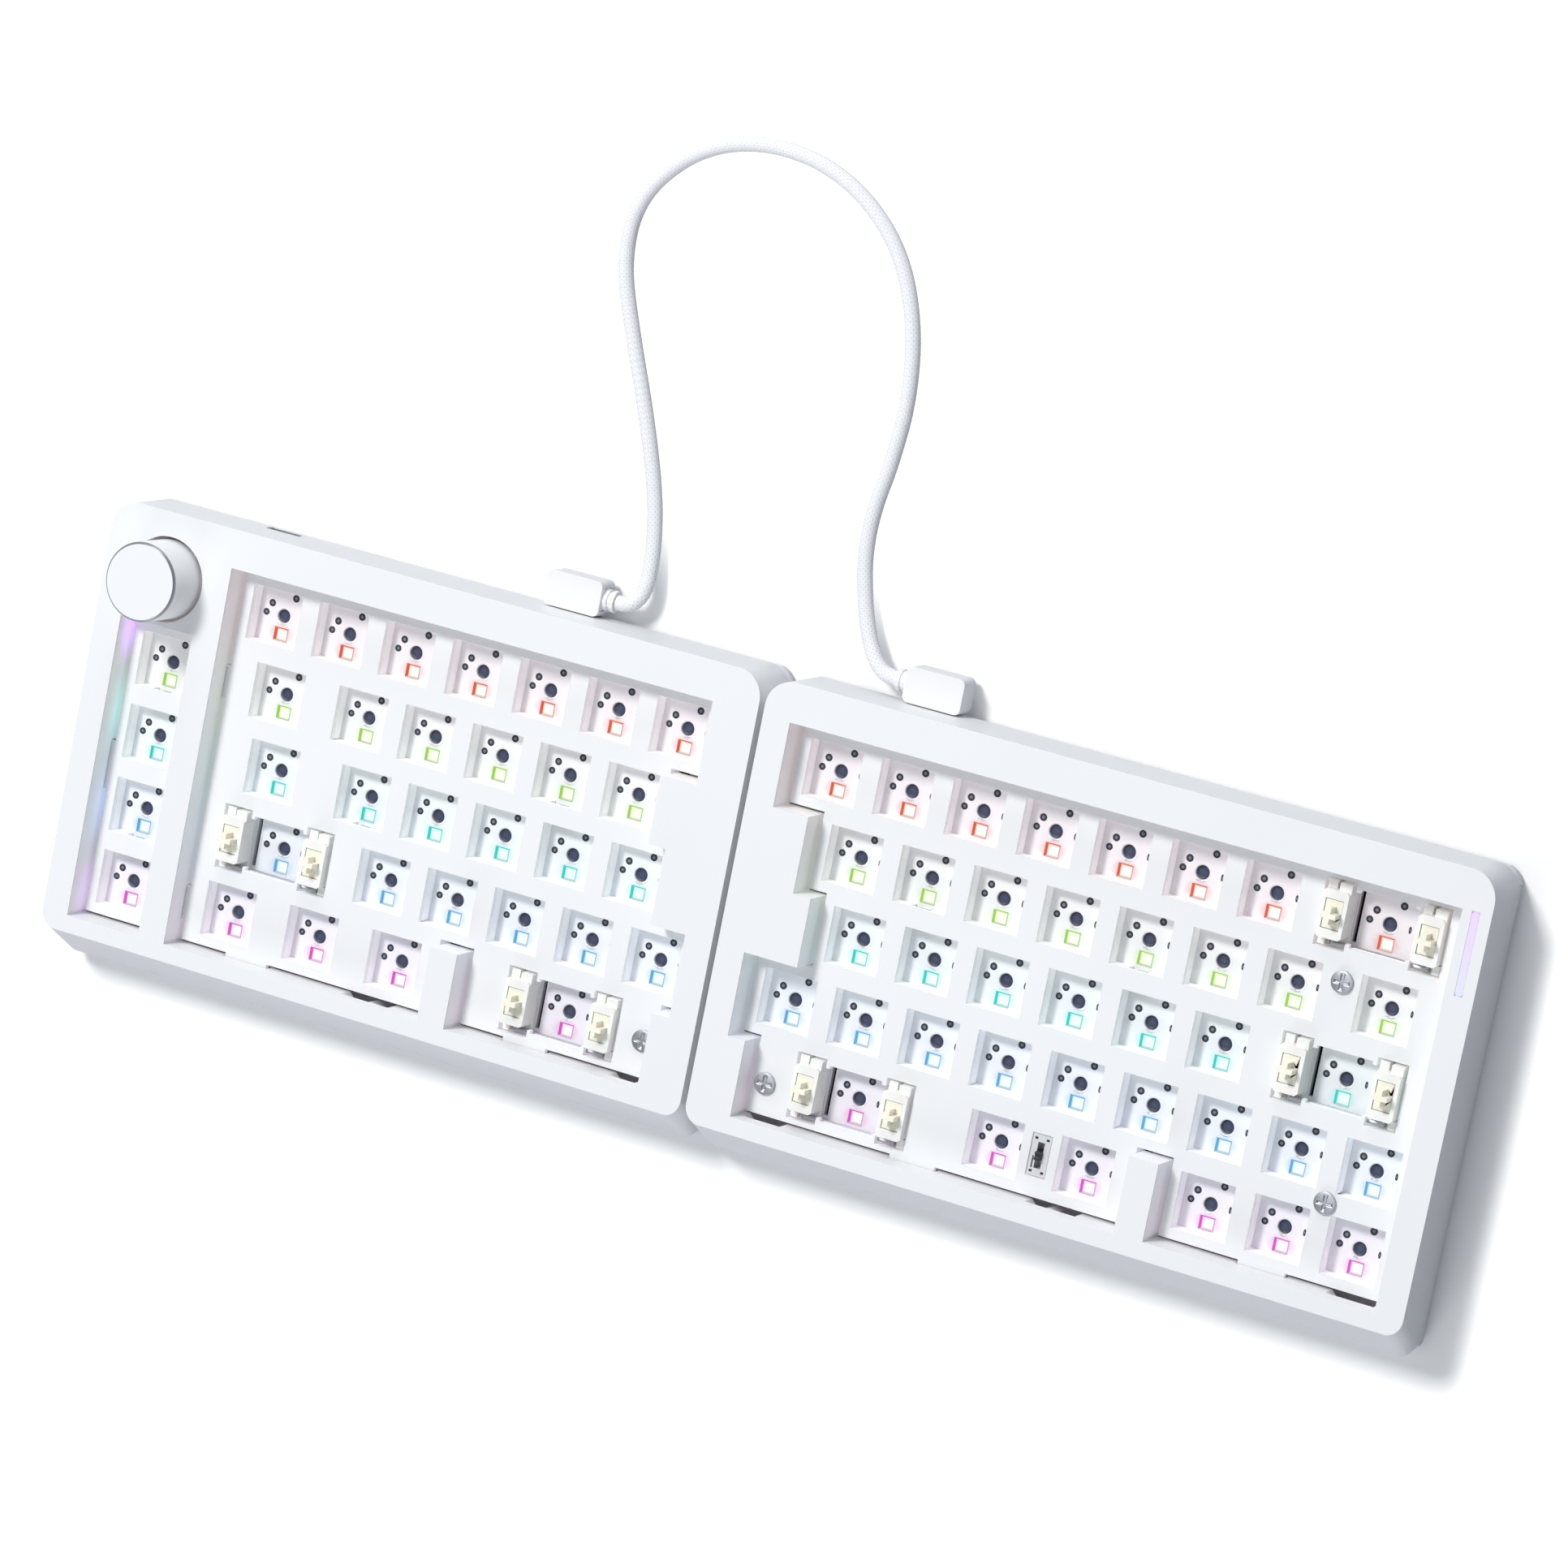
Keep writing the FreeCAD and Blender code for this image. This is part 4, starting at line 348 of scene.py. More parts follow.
floor_mesh = bpy.data.meshes.new("floor")
floor_mesh.from_pydata([(-6, -6, 0), (6, -6, 0), (6, 6, 0), (-6, 6, 0)], [], [(0, 1, 2, 3)])
floor = bpy.data.objects.new("floor", floor_mesh)
scene.collection.objects.link(floor)
floor_paint = bpy.data.materials.new("floor_paint")
floor_mesh.materials.append(floor_paint)
tree, shader = shader_of(floor_paint)
ray = add_node(tree, "LightPath", {}).outputs
past = vector_maths(tree, "SUBTRACT", vector_maths(tree, "ABSOLUTE", place_in(tree)), HALF_FOOTPRINT)
distance = vector_maths(tree, "LENGTH", vector_maths(tree, "MAXIMUM", past, (0, 0, 0)))
fade = ramp_of(tree, distance, FADE_START, FADE_END)
feed(tree, shader, {"Base Color": mixed(tree, ray["Is Camera Ray"], SHADED, SEEN),
                    "Roughness": 0.95, "Specular IOR Level": 0.0, "Emission Color": (1, 1, 1),
                    "Emission Strength": maths(tree, "MULTIPLY", fade, ray["Is Camera Ray"])})
bounced = maths(tree, "MAXIMUM", ray["Is Diffuse Ray"], ray["Is Shadow Ray"])
passed = maths(tree, "MULTIPLY", bounced, maths(tree, "LESS_THAN", ray["Ray Length"], CLOSE_BY))
clear = maths(tree, "MAXIMUM", passed, add_node(tree, "NewGeometry", {}).outputs["Backfacing"])
either = add_node(tree, "MixShader", {0: clear, 1: shader.outputs[0],
                                      2: add_node(tree, "BsdfTransparent", {}).outputs[0]})
feed(tree, tree.nodes["Material Output"], {"Surface": either.outputs[0]})
print("floor nodes:", len(tree.nodes))

# %% [markdown]
# Four wide square lamps light the part, since a wide lamp has a soft shadow. The strongest, behind and to
# the left, does most of the work, so the walls that face right fall into a blue-grey shade and a soft
# shadow lies along the front, as in the picture. A faint sky fills in the shade from all sides. The
# camera sees plain white in its place, so the background is white without more light on the part.

# %% Sky and lamps
world = bpy.data.worlds.new("studio_air")
scene.world = world
world.use_nodes = True
air = world.node_tree
sky = air.nodes["Background"]
feed(air, sky, {"Color": (0.86, 0.91, 1.0), "Strength": 0.30})
white = add_node(air, "Background", {"Color": (1, 1, 1), "Strength": 1.0})
seen = add_node(air, "LightPath", {}).outputs["Is Camera Ray"]
pick = add_node(air, "MixShader", {0: seen, 1: sky.outputs[0], 2: white.outputs[0]})
feed(air, air.nodes["World Output"], {"Surface": pick.outputs[0]})


def softbox(name, place, width, power, colour):
    """A square area lamp of the given width at a place, turned towards the middle of the keyboard."""
    lamp_data = bpy.data.lights.new(name, "AREA")
    lamp_data.shape = "SQUARE"
    lamp_data.size = width
    lamp_data.energy = power
    lamp_data.color = colour
    lamp = bpy.data.objects.new(name, lamp_data)
    turn = Vector(place).to_track_quat("Z", "Y")
    lamp.matrix_world = Matrix.Translation(place) @ turn.to_matrix().to_4x4()
    scene.collection.objects.link(lamp)


softbox("key_lamp", (-0.60, 1.10, 1.8), 0.45, 33, (1.0, 0.99, 0.98))
softbox("top_lamp", (0.1, -0.3, 2.2), 1.6, 7, (0.97, 0.985, 1.0))
softbox("front_lamp", (-0.3, -2.0, 0.8), 1.0, 16, (0.95, 0.975, 1.0))
softbox("back_lamp", (-0.3, 2.2, 0.7), 1.0, 14, (0.97, 0.985, 1.0))

# %% [markdown]
# Two effects are shared by many finishes, so each is a node group. Moulding grain gives a fine height
# for bumps and a broad patch for slow changes of tone. Row light gives the colours of the key lights by
# the row a point lies in: red, green, turquoise, blue and violet from back to front. It gives them
# strong and stepped, smooth from row to row, and pale as in the middle of a lens. A material for each
# row would do too, but then the light that mixes between rows would be lost.

# %% Shared effects
def effect(name, inputs, outputs):
    """A shader node group with named sockets: the group, what comes in and its last node."""
    group = bpy.data.node_groups.new(name, "ShaderNodeTree")
    for label, kind in inputs.items():
        group.interface.new_socket(name=label, in_out="INPUT", socket_type="NodeSocket" + kind)
    for label, kind in outputs.items():
        group.interface.new_socket(name=label, in_out="OUTPUT", socket_type="NodeSocket" + kind)
    return group, group.nodes.new("NodeGroupInput").outputs, group.nodes.new("NodeGroupOutput")


grain_group, come, end = effect("moulding_grain", {"Place": "Vector", "Fineness": "Float"},
                                {"Height": "Float", "Patch": "Float"})
fine = add_node(grain_group, "TexNoise", {"Vector": come["Place"], "Scale": come["Fineness"],
                                          "Detail": 3.0})
broad = add_node(grain_group, "TexNoise", {"Vector": come["Place"], "Scale": 22.0, "Detail": 2.0})
feed(grain_group, end, {"Height": fine.outputs[0], "Patch": broad.outputs[0]})

ROW_COLOURS = [(0.95, 0.11, 0.76), (0.15, 0.58, 1.0), (0.04, 0.92, 0.80),
               (0.56, 0.95, 0.18), (1.0, 0.12, 0.03)]
LENS_COLOURS = [(1.0, 0.92, 0.98), (0.85, 0.98, 1.0), (0.80, 1.0, 0.98),
                (0.90, 1.0, 0.80), (1.0, 0.96, 0.90)]
LED_FORWARD = 0.0047
FRONT_END, BACK_END = ROW_1_Y - 4.5 * PITCH - LED_FORWARD, ROW_1_Y + 0.5 * PITCH - LED_FORWARD
row_group, come, end = effect("row_light", {"Place": "Vector"},
                              {"Row": "Color", "Glow": "Color", "Lens": "Color"})
row_span = add_node(row_group, "MapRange", {"Value": parts_of(row_group, come["Place"])["Y"],
                                            "From Min": FRONT_END, "From Max": BACK_END}).outputs[0]
for output, colours, kind, shift in (("Row", ROW_COLOURS, "CONSTANT", 0.0),
                                     ("Glow", ROW_COLOURS, "EASE", 0.1),
                                     ("Lens", LENS_COLOURS, "CONSTANT", 0.0)):
    stops = [(number / len(colours) + shift, colour) for number, colour in enumerate(colours)]
    feed(row_group, end, {output: colour_ramp(row_group, row_span, stops, kind)})
print("shared effects:", [group.name for group in bpy.data.node_groups])

# %% [markdown]
# A finish is one Principled shader with the values of the real material set on its own sockets, and
# the shared grain feeding its bump and roughness. Colour and roughness drift a little over the surface,
# so that no part looks like flat paint.

# %% Finish helper
def finish(name, colour, roughness, metallic=0.0, fineness=2500.0, bump=0.05, drift=0.03, specular=0.5):
    """A material whose colour and roughness drift with the broad patch, and whose bump is the fine grain."""
    material = bpy.data.materials.new(name)
    tree, shader = shader_of(material)
    grain = add_node(tree, "Group", {}, node_tree=grain_group)
    feed(tree, grain, {"Place": place_in(tree), "Fineness": fineness})
    darker = [c * (1 - drift) for c in colour]
    lighter = [min(1.0, c * (1 + drift)) for c in colour]
    gloss = add_node(tree, "MapRange", {"Value": grain.outputs["Patch"], "To Min": roughness * 0.88,
                                        "To Max": min(1.0, roughness * 1.12)})
    relief = add_node(tree, "Bump", {"Height": grain.outputs["Height"], "Strength": bump,
                                     "Distance": 0.0002})
    feed(tree, shader, {"Base Color": mixed(tree, grain.outputs["Patch"], darker, lighter),
                        "Roughness": gloss.outputs[0], "Normal": relief.outputs[0],
                        "Metallic": metallic, "Specular IOR Level": specular})
    return material


def own_colour(shader):
    """The socket that a finish takes its colour from."""
    return shader.inputs["Base Color"].links[0].from_socket


def paint(material, *nodes):
    """Puts a finish on CAD nodes."""
    for node in nodes:
        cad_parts[node].material_slots[0].material = material


def both(name):
    """The left and right node of a kind."""
    return ["left_" + name, "right_" + name]


print("finish helpers ready")

# %% [markdown]
# Most pieces need no more than that. The cases, plates, plugs and feet are white moulded or coated parts
# that differ in gloss and grain, small metal parts are steel, and the stabilisers are two milky plastics
# that let a little light in, so they get some subsurface scattering.

# %% Plain finishes
case_white = finish("case_white", (0.79, 0.80, 0.81), 0.42, fineness=4200, bump=0.035, drift=0.012,
                    specular=0.45)
plate_white = finish("plate_white", (0.80, 0.81, 0.82), 0.5, fineness=3000, bump=0.06, drift=0.015,
                     specular=0.35)
black_moulding_and_shade = finish("black_moulding_and_shade", (0.02, 0.02, 0.024), 0.45, bump=0.08, drift=0.1)
bright_steel = finish("bright_steel", (0.50, 0.51, 0.54), 0.40, metallic=1.0, fineness=1500, drift=0.05)
dull_steel = finish("dull_steel", (0.52, 0.53, 0.55), 0.4, metallic=1.0, fineness=1500, bump=0.06,
                    drift=0.06)
switch_silver = finish("switch_silver", (0.74, 0.75, 0.77), 0.34, metallic=0.35, fineness=1500, bump=0.04)
grey_foam = finish("grey_foam", (0.045, 0.045, 0.05), 0.95, fineness=3500, bump=0.6, drift=0.25,
                   specular=0.1)
foot_rubber = finish("foot_rubber", (0.28, 0.29, 0.31), 0.85, fineness=2600, bump=0.25, drift=0.08,
                     specular=0.2)
milky_plastic = finish("milky_plastic", (0.88, 0.88, 0.85), 0.36, fineness=2200)
cream_plastic = finish("cream_plastic", (0.90, 0.87, 0.74), 0.33, fineness=2200, drift=0.04)
silver_wrap = finish("silver_wrap", (0.42, 0.44, 0.47), 0.32, metallic=0.6, fineness=300, bump=0.2,
                     drift=0.1)
foot_white = finish("foot_white", (0.80, 0.80, 0.82), 0.55, fineness=3200, bump=0.08, drift=0.02)
plug_white = finish("plug_white", (0.80, 0.805, 0.815), 0.5, fineness=3600, bump=0.07, drift=0.015,
                    specular=0.35)
for soft_plastic in (milky_plastic, cream_plastic):
    feed(*shader_of(soft_plastic), {"Subsurface Weight": 0.25, "Subsurface Scale": 0.001})
paint(case_white, *both("top_case"), *both("bottom_case"))
paint(plate_white, *both("switch_plate"))
paint(black_moulding_and_shade, *both("switch_sockets"), "encoder_plunger", "mode_switch_lever")
paint(bright_steel, *both("plate_screws"), *both("case_screws"), *both("standoffs"), "encoder_shaft")
paint(switch_silver, "mode_switch_body")
paint(dull_steel, *both("bridge_port"), "host_port", "encoder_body")
paint(grey_foam, *both("gaskets"), *both("case_foam"))
paint(foot_rubber, *both("rubber_feet"))
paint(silver_wrap, "right_battery")
paint(foot_white, *both("flip_foot_inner"), *both("flip_foot_outer"))
paint(plug_white, *both("cable_plug"))
STABILISERS = ["left_shift", "left_space", "right_space", "right_backspace", "right_enter"]
for key in STABILISERS:
    paint(milky_plastic, key + "_stab_housings")
    paint(cream_plastic, key + "_stab_stems")
    paint(bright_steel, key + "_stab_wire")
print("plain finishes:", len(bpy.data.materials))

# %% [markdown]
# The braid is matt white yarn. Its grooves hold a little shade that a render this size can't resolve,
# so the colour darkens where a strand is raised little. The light bar in the right bezel is a clear
# strip whose glow runs from violet at the back to blue at the front. Three colours along its length do
# for that, and the strip needs no lamp.

# %% Braid and light bar
GROOVE_COLOUR = (0.66, 0.67, 0.70)
braid_white = finish("braid_white", (0.91, 0.915, 0.925), 0.75, fineness=6000, bump=0.25, drift=0.02,
                     specular=0.25)
tree, shader = shader_of(braid_white)
strand = add_node(tree, "Attribute", {}, attribute_name="raised").outputs["Fac"]
feed(tree, shader, {"Base Color": mixed(tree, strand, GROOVE_COLOUR, own_colour(shader))})
cable.data.materials.append(braid_white)

BAR_COLOURS = [(0.0, (0.40, 0.46, 0.62)), (0.5, (0.46, 0.39, 0.62)), (1.0, (0.50, 0.34, 0.60))]
BAR_FRONT, BAR_BACK = 0.0297, 0.0497
bar_lens = finish("bar_lens", (0.34, 0.33, 0.36), 0.35, fineness=2000, bump=0.03, drift=0.01)
tree, shader = shader_of(bar_lens)
bar_span = add_node(tree, "MapRange", {"Value": parts_of(tree, place_in(tree))["Y"],
                                       "From Min": BAR_FRONT, "From Max": BAR_BACK}).outputs[0]
feed(tree, shader, {"Emission Color": colour_ramp(tree, bar_span, BAR_COLOURS), "Emission Strength": 1.0})
paint(bar_lens, "light_bar")
print("light bar colours:", len(BAR_COLOURS))

# %% [markdown]
# Light from the key lights creeps over everything near them. Real bounces would be too weak to see
# beside the lamps, so it is added by hand in two ways: a share of the row's colour is mixed into a
# finish, and white parts give off a little light of their own in a pale row colour. Where it should end,
# a mask keeps it inside the wells or below a height.

# %% Light from the keys
WELL_BOXES = [((-0.09398, 0.00245, 0.0165), (0.0865, 0.0492, 0.0046)),
              ((0.09268, 0.00245, 0.0165), (0.0888, 0.0492, 0.0046))]
PALE_EDGES, PALE_WALLS = 0.86, 0.84


def inside(tree, place, centre, half_size):
    """A mask that is 1 for places inside a box, given by its centre and half size."""
    away = vector_maths(tree, "ABSOLUTE", vector_maths(tree, "SUBTRACT", place, centre))
    parts = parts_of(tree, vector_maths(tree, "DIVIDE", away, half_size))
    widest = maths(tree, "MAXIMUM", maths(tree, "MAXIMUM", parts["X"], parts["Y"]), parts["Z"])
    return maths(tree, "LESS_THAN", widest, 1.0)


def in_wells(tree):
    """A mask that is 1 inside the wells of either half, below the top of the case."""
    return maths(tree, "MAXIMUM", *[inside(tree, place_in(tree), *box) for box in WELL_BOXES])


def row_light(tree):
    """The row colours at a point."""
    rows = add_node(tree, "Group", {}, node_tree=row_group)
    feed(tree, rows, {"Place": place_in(tree)})
    return rows.outputs


def tint(material, share, mask=None):
    """Mixes a share of the row glow into a finish's colour, everywhere or where a mask is 1."""
    tree, shader = shader_of(material)
    if mask:
        share = maths(tree, "MULTIPLY", mask(tree), share)
    feed(tree, shader, {"Base Color": mixed(tree, share, own_colour(shader), row_light(tree)["Glow"])})


def pale_glow(tree, paleness):
    """The row glow mixed with white."""
    return mixed(tree, paleness, row_light(tree)["Glow"], (1, 1, 1))


def glow_below(material, share, height):
    """Light of the key lights that soaks through a part: it shows below a height, in a pale row colour."""
    tree, shader = shader_of(material)
    low = maths(tree, "LESS_THAN", parts_of(tree, place_in(tree))["Z"], height)
    feed(tree, shader, {"Emission Color": pale_glow(tree, PALE_EDGES),
                        "Emission Strength": maths(tree, "MULTIPLY", low, share)})


def glow_in_wells(material, share, spots):
    """Gives a finish a little light of its own: a share of the row glow inside the wells, and spots, each
    with a centre, a half size and a colour, that fade outwards."""
    tree, shader = shader_of(material)
    soaked = {0: pale_glow(tree, PALE_WALLS), "Scale": maths(tree, "MULTIPLY", in_wells(tree), share)}
    light = add_node(tree, "VectorMath", soaked, operation="SCALE").outputs[0]
    for centre, half_size, colour in spots:
        shifted = vector_maths(tree, "SUBTRACT", place_in(tree), centre)
        far = vector_maths(tree, "LENGTH", vector_maths(tree, "DIVIDE", shifted, half_size))
        spot = mixed(tree, ramp_of(tree, far, 1.0, 0.0), (0, 0, 0), colour)
        light = vector_maths(tree, "ADD", spot, light)
    feed(tree, shader, {"Emission Color": light, "Emission Strength": 1.0})


print("wells lit:", len(WELL_BOXES))

# %% [markdown]
# The walls of the wells take a little of each row's light, painted into their colour and given off as a
# faint glow. The narrow left column has more of its own: in the picture its outer wall shows soft spots
# of violet, teal and blue light beside the keys, painted on as glowing spots. They are set one by one,
# since lamps inside the case would also light the plate. The circuit board is white solder mask and
# takes a hint of its row's light, painted into its colour, and the plate shows the light only in its cut
# edges, below its face, as a painted glow.

# %% Cases, plates and boards
SIDE_WALL = LEFT_START - 1.5 * PITCH - 0.0007
SIDE_SPOTS = [(0.62, 0.016, (0.0022, 0.0125, 0.0056), (0.30, 0.08, 0.66)),
              (1.75, 0.015, (0.0022, 0.0150, 0.0050), (0.02, 0.20, 0.20)),
              (3.00, 0.015, (0.0022, 0.0150, 0.0050), (0.06, 0.10, 0.26)),
              (4.20, 0.015, (0.0022, 0.0120, 0.0050), (0.14, 0.06, 0.24))]
PLATE_EDGE = 0.01444
tint(case_white, 0.045, in_wells)
glow_in_wells(case_white, 0.11, [((SIDE_WALL, ROW_1_Y - rows * PITCH, height), half_size, colour)
                                 for rows, height, half_size, colour in SIDE_SPOTS])
glow_below(plate_white, 0.16, PLATE_EDGE)
board_white = finish("board_white", (0.84, 0.84, 0.87), 0.35, fineness=1800, bump=0.04, drift=0.02)
tint(board_white, 0.05)
paint(board_white, *both("circuit_board"))
print("spots on the side wall:", len(SIDE_SPOTS))

# %% [markdown]
# The knob is one turned piece with a white coat. Its narrow bevelled edge is cut bright after the coat,
# so a ring of bare metal shows there. It needs no piece of its own: a mask finds the points that are
# both high and far from the knob's axis. The knob turns about that axis, so the ring stays in place.

# %% Knob
KNOB_AXIS = (LEFT_START - PITCH, ROW_1_Y + 0.0032, 0)
BEVEL_LOW, BEVEL_INNER = 0.03312, 0.00942
BARE_METAL = (0.42, 0.43, 0.46)
knob_white = finish("knob_white", (0.80, 0.81, 0.82), 0.4, fineness=5200, drift=0.01)
tree, shader = shader_of(knob_white)
parts = parts_of(tree, place_in(tree))
flat = add_node(tree, "CombineXYZ", {"X": parts["X"], "Y": parts["Y"]}).outputs[0]
outside = maths(tree, "GREATER_THAN", vector_maths(tree, "DISTANCE", flat, KNOB_AXIS), BEVEL_INNER)
ring = maths(tree, "MULTIPLY", maths(tree, "GREATER_THAN", parts["Z"], BEVEL_LOW), outside)
feed(tree, shader, {"Base Color": mixed(tree, ring, own_colour(shader), BARE_METAL), "Metallic": ring})
paint(knob_white, "knob")
print("knob finish nodes:", len(tree.nodes))

# %% [markdown]
# The foam between plate and board and the face of the mode switch are flat sheets with square holes.
# Booleans could cut the holes one by one, but they are slow and leave splinters. Here all edges of the
# outline and of the holes are the lines of an uneven grid, and each cell of it is solid or empty.

# %% Sheets with holes
def boxes_round(places, half_x, half_y):
    """Rectangles x0, x1, y0, y1 about places."""
    x, y = places.T
    return np.stack([x - half_x, x + half_x, y - half_y, y + half_y], 1)


def sheet_mesh(name, blocks, holes, low, high):
    """Sheet between two heights. A cell (i, j) of the uneven grid is solid where its middle lies in some
    block and in no hole. It gets a top and a bottom, and a wall stands wherever solid meets empty."""
    lines_x = np.unique(np.round(np.vstack([blocks, holes])[:, :2], 6))
    lines_y = np.unique(np.round(np.vstack([blocks, holes])[:, 2:], 6))
    middle_x, middle_y = (lines_x[1:] + lines_x[:-1]) / 2, (lines_y[1:] + lines_y[:-1]) / 2

    def covered(boxes):
        across = (middle_x[None] > boxes[:, 0, None]) & (middle_x[None] < boxes[:, 1, None])
        along = (middle_y[None] > boxes[:, 2, None]) & (middle_y[None] < boxes[:, 3, None])
        return (across[:, :, None] & along[:, None, :]).any(0)

    solid = np.pad(covered(blocks) & ~covered(holes), 1)
    index = np.arange(2 * len(lines_x) * len(lines_y)).reshape(2, len(lines_x), len(lines_y))
    i, j = np.nonzero(solid[1:-1, 1:-1])
    top = np.stack([index[1, i, j], index[1, i + 1, j], index[1, i + 1, j + 1], index[1, i, j + 1]], 1)
    base = np.stack([index[0, i, j], index[0, i, j + 1], index[0, i + 1, j + 1], index[0, i + 1, j]], 1)
    quads = [top, base]
    for step, keep in ((1, solid[:-1, 1:-1] & ~solid[1:, 1:-1]), (-1, ~solid[:-1, 1:-1] & solid[1:, 1:-1])):
        i, j = np.nonzero(keep)
        wall = np.stack([index[0, i, j], index[0, i, j + 1], index[1, i, j + 1], index[1, i, j]], 1)
        quads.append(wall[:, ::step])
    for step, keep in ((-1, solid[1:-1, :-1] & ~solid[1:-1, 1:]), (1, ~solid[1:-1, :-1] & solid[1:-1, 1:])):
        i, j = np.nonzero(keep)
        wall = np.stack([index[0, i, j], index[0, i + 1, j], index[1, i + 1, j], index[1, i, j]], 1)
        quads.append(wall[:, ::step])
    quads = np.vstack(quads)
    used, quads = np.unique(quads, return_inverse=True)
    z, x, y = np.meshgrid([low, high], lines_x, lines_y, indexing="ij")
    points = np.stack([x, y, z], -1).reshape(-1, 3)
    mesh = bpy.data.meshes.new(name)
    mesh.from_pydata(points[used].tolist(), [], quads.reshape(-1, 4).tolist())
    mesh.update()
    return mesh


print("sheet helpers ready")

# %% [markdown]
# White foam fills the space between plate and board, and its cut edges are the walls seen inside each
# switch opening. It is one sheet per half. Its outline follows the rows: each block is one row, from one
# place along it to another. Its holes are the switch openings, the wide openings of the stabilised keys,
# and small ones for the standoffs. A slot leaves room for the mode switch.

# %% Foam between plate and board
BLOCKS = {"left": [(1, 0, 7), (2, 0, 6.5), (3, 0, 6.75), (4, 0, 7.25), (5, 0, 3.75), (5, 4.25, 7.0),
                   (2, -1.5, -0.5), (3, -1.5, -0.5), (4, -1.5, -0.5), (5, -1.5, -0.5)],
          "right": [(1, 6, 15), (2, 6.5, 15), (3, 6.75, 15), (4, 6, 15), (5, 6.25, 11.5), (5, 12, 15)]}
STABILISED = {"left": [(1.125, 4), (5.625, 5)], "right": [(7.625, 5), (14.0, 1), (13.875, 3)]}
PILLARS = {"left": [(1.5, 2.5), (5.0, 2.5), (3.25, 4.5), (2.25, 3.5), (6.84, 5.02), (-1.0, 2.5),
                    (-1.0, 4.5)],
           "right": [(8.0, 2.5), (11.0, 2.5), (9.0, 4.5), (11.0, 4.5), (14.03, 4.5), (13.65, 1.79),
                     (6.43, 5.09)]}
MODE_SWITCH = [(10.25, 4.97)]
FOAM_LOW, FOAM_HIGH = 0.0096, 0.0129
HALF_OPENING, HALF_PILLAR = 0.00705, 0.0026
HALF_WIDE, HALF_SLOT = (0.01594, 0.0084), (0.0026, 0.0053)

foam_white = finish("foam_white", (0.88, 0.88, 0.90), 0.9, fineness=3800, bump=0.35, drift=0.02,
                    specular=0.1)
# The foam gives off painted light: a pale share of its row's key light, all over the sheet, which lies
# wholly below 0.02 m.
glow_below(foam_white, 0.18, 0.02)
mode_middle = key_centres(MODE_SWITCH, RIGHT_START)
for side, start in STARTS.items():
    blocks = np.array([(start + first * PITCH, start + last * PITCH, ROW_1_Y - (row - 0.5) * PITCH,
                        ROW_1_Y - (row - 1.5) * PITCH) for row, first, last in BLOCKS[side]])
    holes = np.vstack([boxes_round(centres[side], HALF_OPENING, HALF_OPENING),
                       boxes_round(key_centres(STABILISED[side], start), *HALF_WIDE),
                       boxes_round(key_centres(PILLARS[side], start), HALF_PILLAR, HALF_PILLAR)])
    if side == "right":
        holes = np.vstack([holes, boxes_round(mode_middle, *HALF_SLOT)])
    add_piece(sheet_mesh(side + "_plate_foam", blocks, holes, FOAM_LOW, FOAM_HIGH), foam_white,
              side + "_half", smooth=False)

# %% [markdown]
# Each key has a lamp that shines up through a window in the board. The lamp's lens is nearly white, and
# its edges carry the colour of the row. The rim of the window is the board's cut edge, lit by that lamp:
# its glow in the row's colour is painted light. Both are rings of rectangles, so their finishes read a
# surface coordinate that runs from 0 to 1 over the window, and masks along it place the pale middle.

# %% Rectangular rings
BOARD_TOP = 0.0095
LIFT = 0.00001
LED_OFFSET = np.array([0.0, -LED_FORWARD])
HALF_LENS, HALF_WINDOW = (0.0016, 0.0014), (0.0017, 0.0015)


def square_rings(places, half_x, half_y, profile):
    """Grids of shrinking or growing rectangles: corner (k) = place + grow_k * (+-half_x, +-half_y).
    The surface coordinate is the corner's place within the first rectangle, from 0 to 1."""
    corners = np.array([(-1, -1), (1, -1), (1, 1), (-1, 1)], float)
    grow, height = np.array(profile, float).T
    flat = corners[None] * grow[:, None, None]
    x = places[:, 0, None, None] + flat[None, :, :, 0] * half_x
    y = places[:, 1, None, None] + flat[None, :, :, 1] * half_y
    z = np.broadcast_to(height[None, :, None], x.shape)
    uv = np.broadcast_to(flat / 2 + 0.5, (len(places), *flat.shape))
    return np.stack([x, y, z], -1), uv


def row_emission(name, edges, strength):
    """A glowing finish in the colour of the row, pale between its edges. edges holds, for the left, back,
    right and front edge, where the pale middle starts and where it is full."""
    material = bpy.data.materials.new(name)
    tree, shader = shader_of(material)
    parts = surface_in(tree)
    left, back, right, front = (ramp_of(tree, parts[axis], *limits) for axis, limits in zip("XYXY", edges))
    middle = maths(tree, "MINIMUM", maths(tree, "MINIMUM", left, back), maths(tree, "MINIMUM", right, front))
    rows = row_light(tree)
    feed(tree, shader, {"Base Color": (0.05, 0.05, 0.05), "Roughness": 0.4, "Emission Strength": strength,
                        "Emission Color": mixed(tree, middle, rows["Row"], rows["Lens"])})
    return material


lens_glow = row_emission("lens_glow", [(-0.05, 0.22), (1.05, 0.80), (1.08, 0.90), (-0.08, 0.10)], 1.0)
# The rim of each window is the board's cut edge; its glow in the row's colour is painted light.
rim_glow = row_emission("rim_glow", [(0.00, 0.12), (1.03, 0.95), (1.065, 1.035), (-0.065, -0.035)], 0.50)
print("glowing finishes:", lens_glow.name, rim_glow.name)
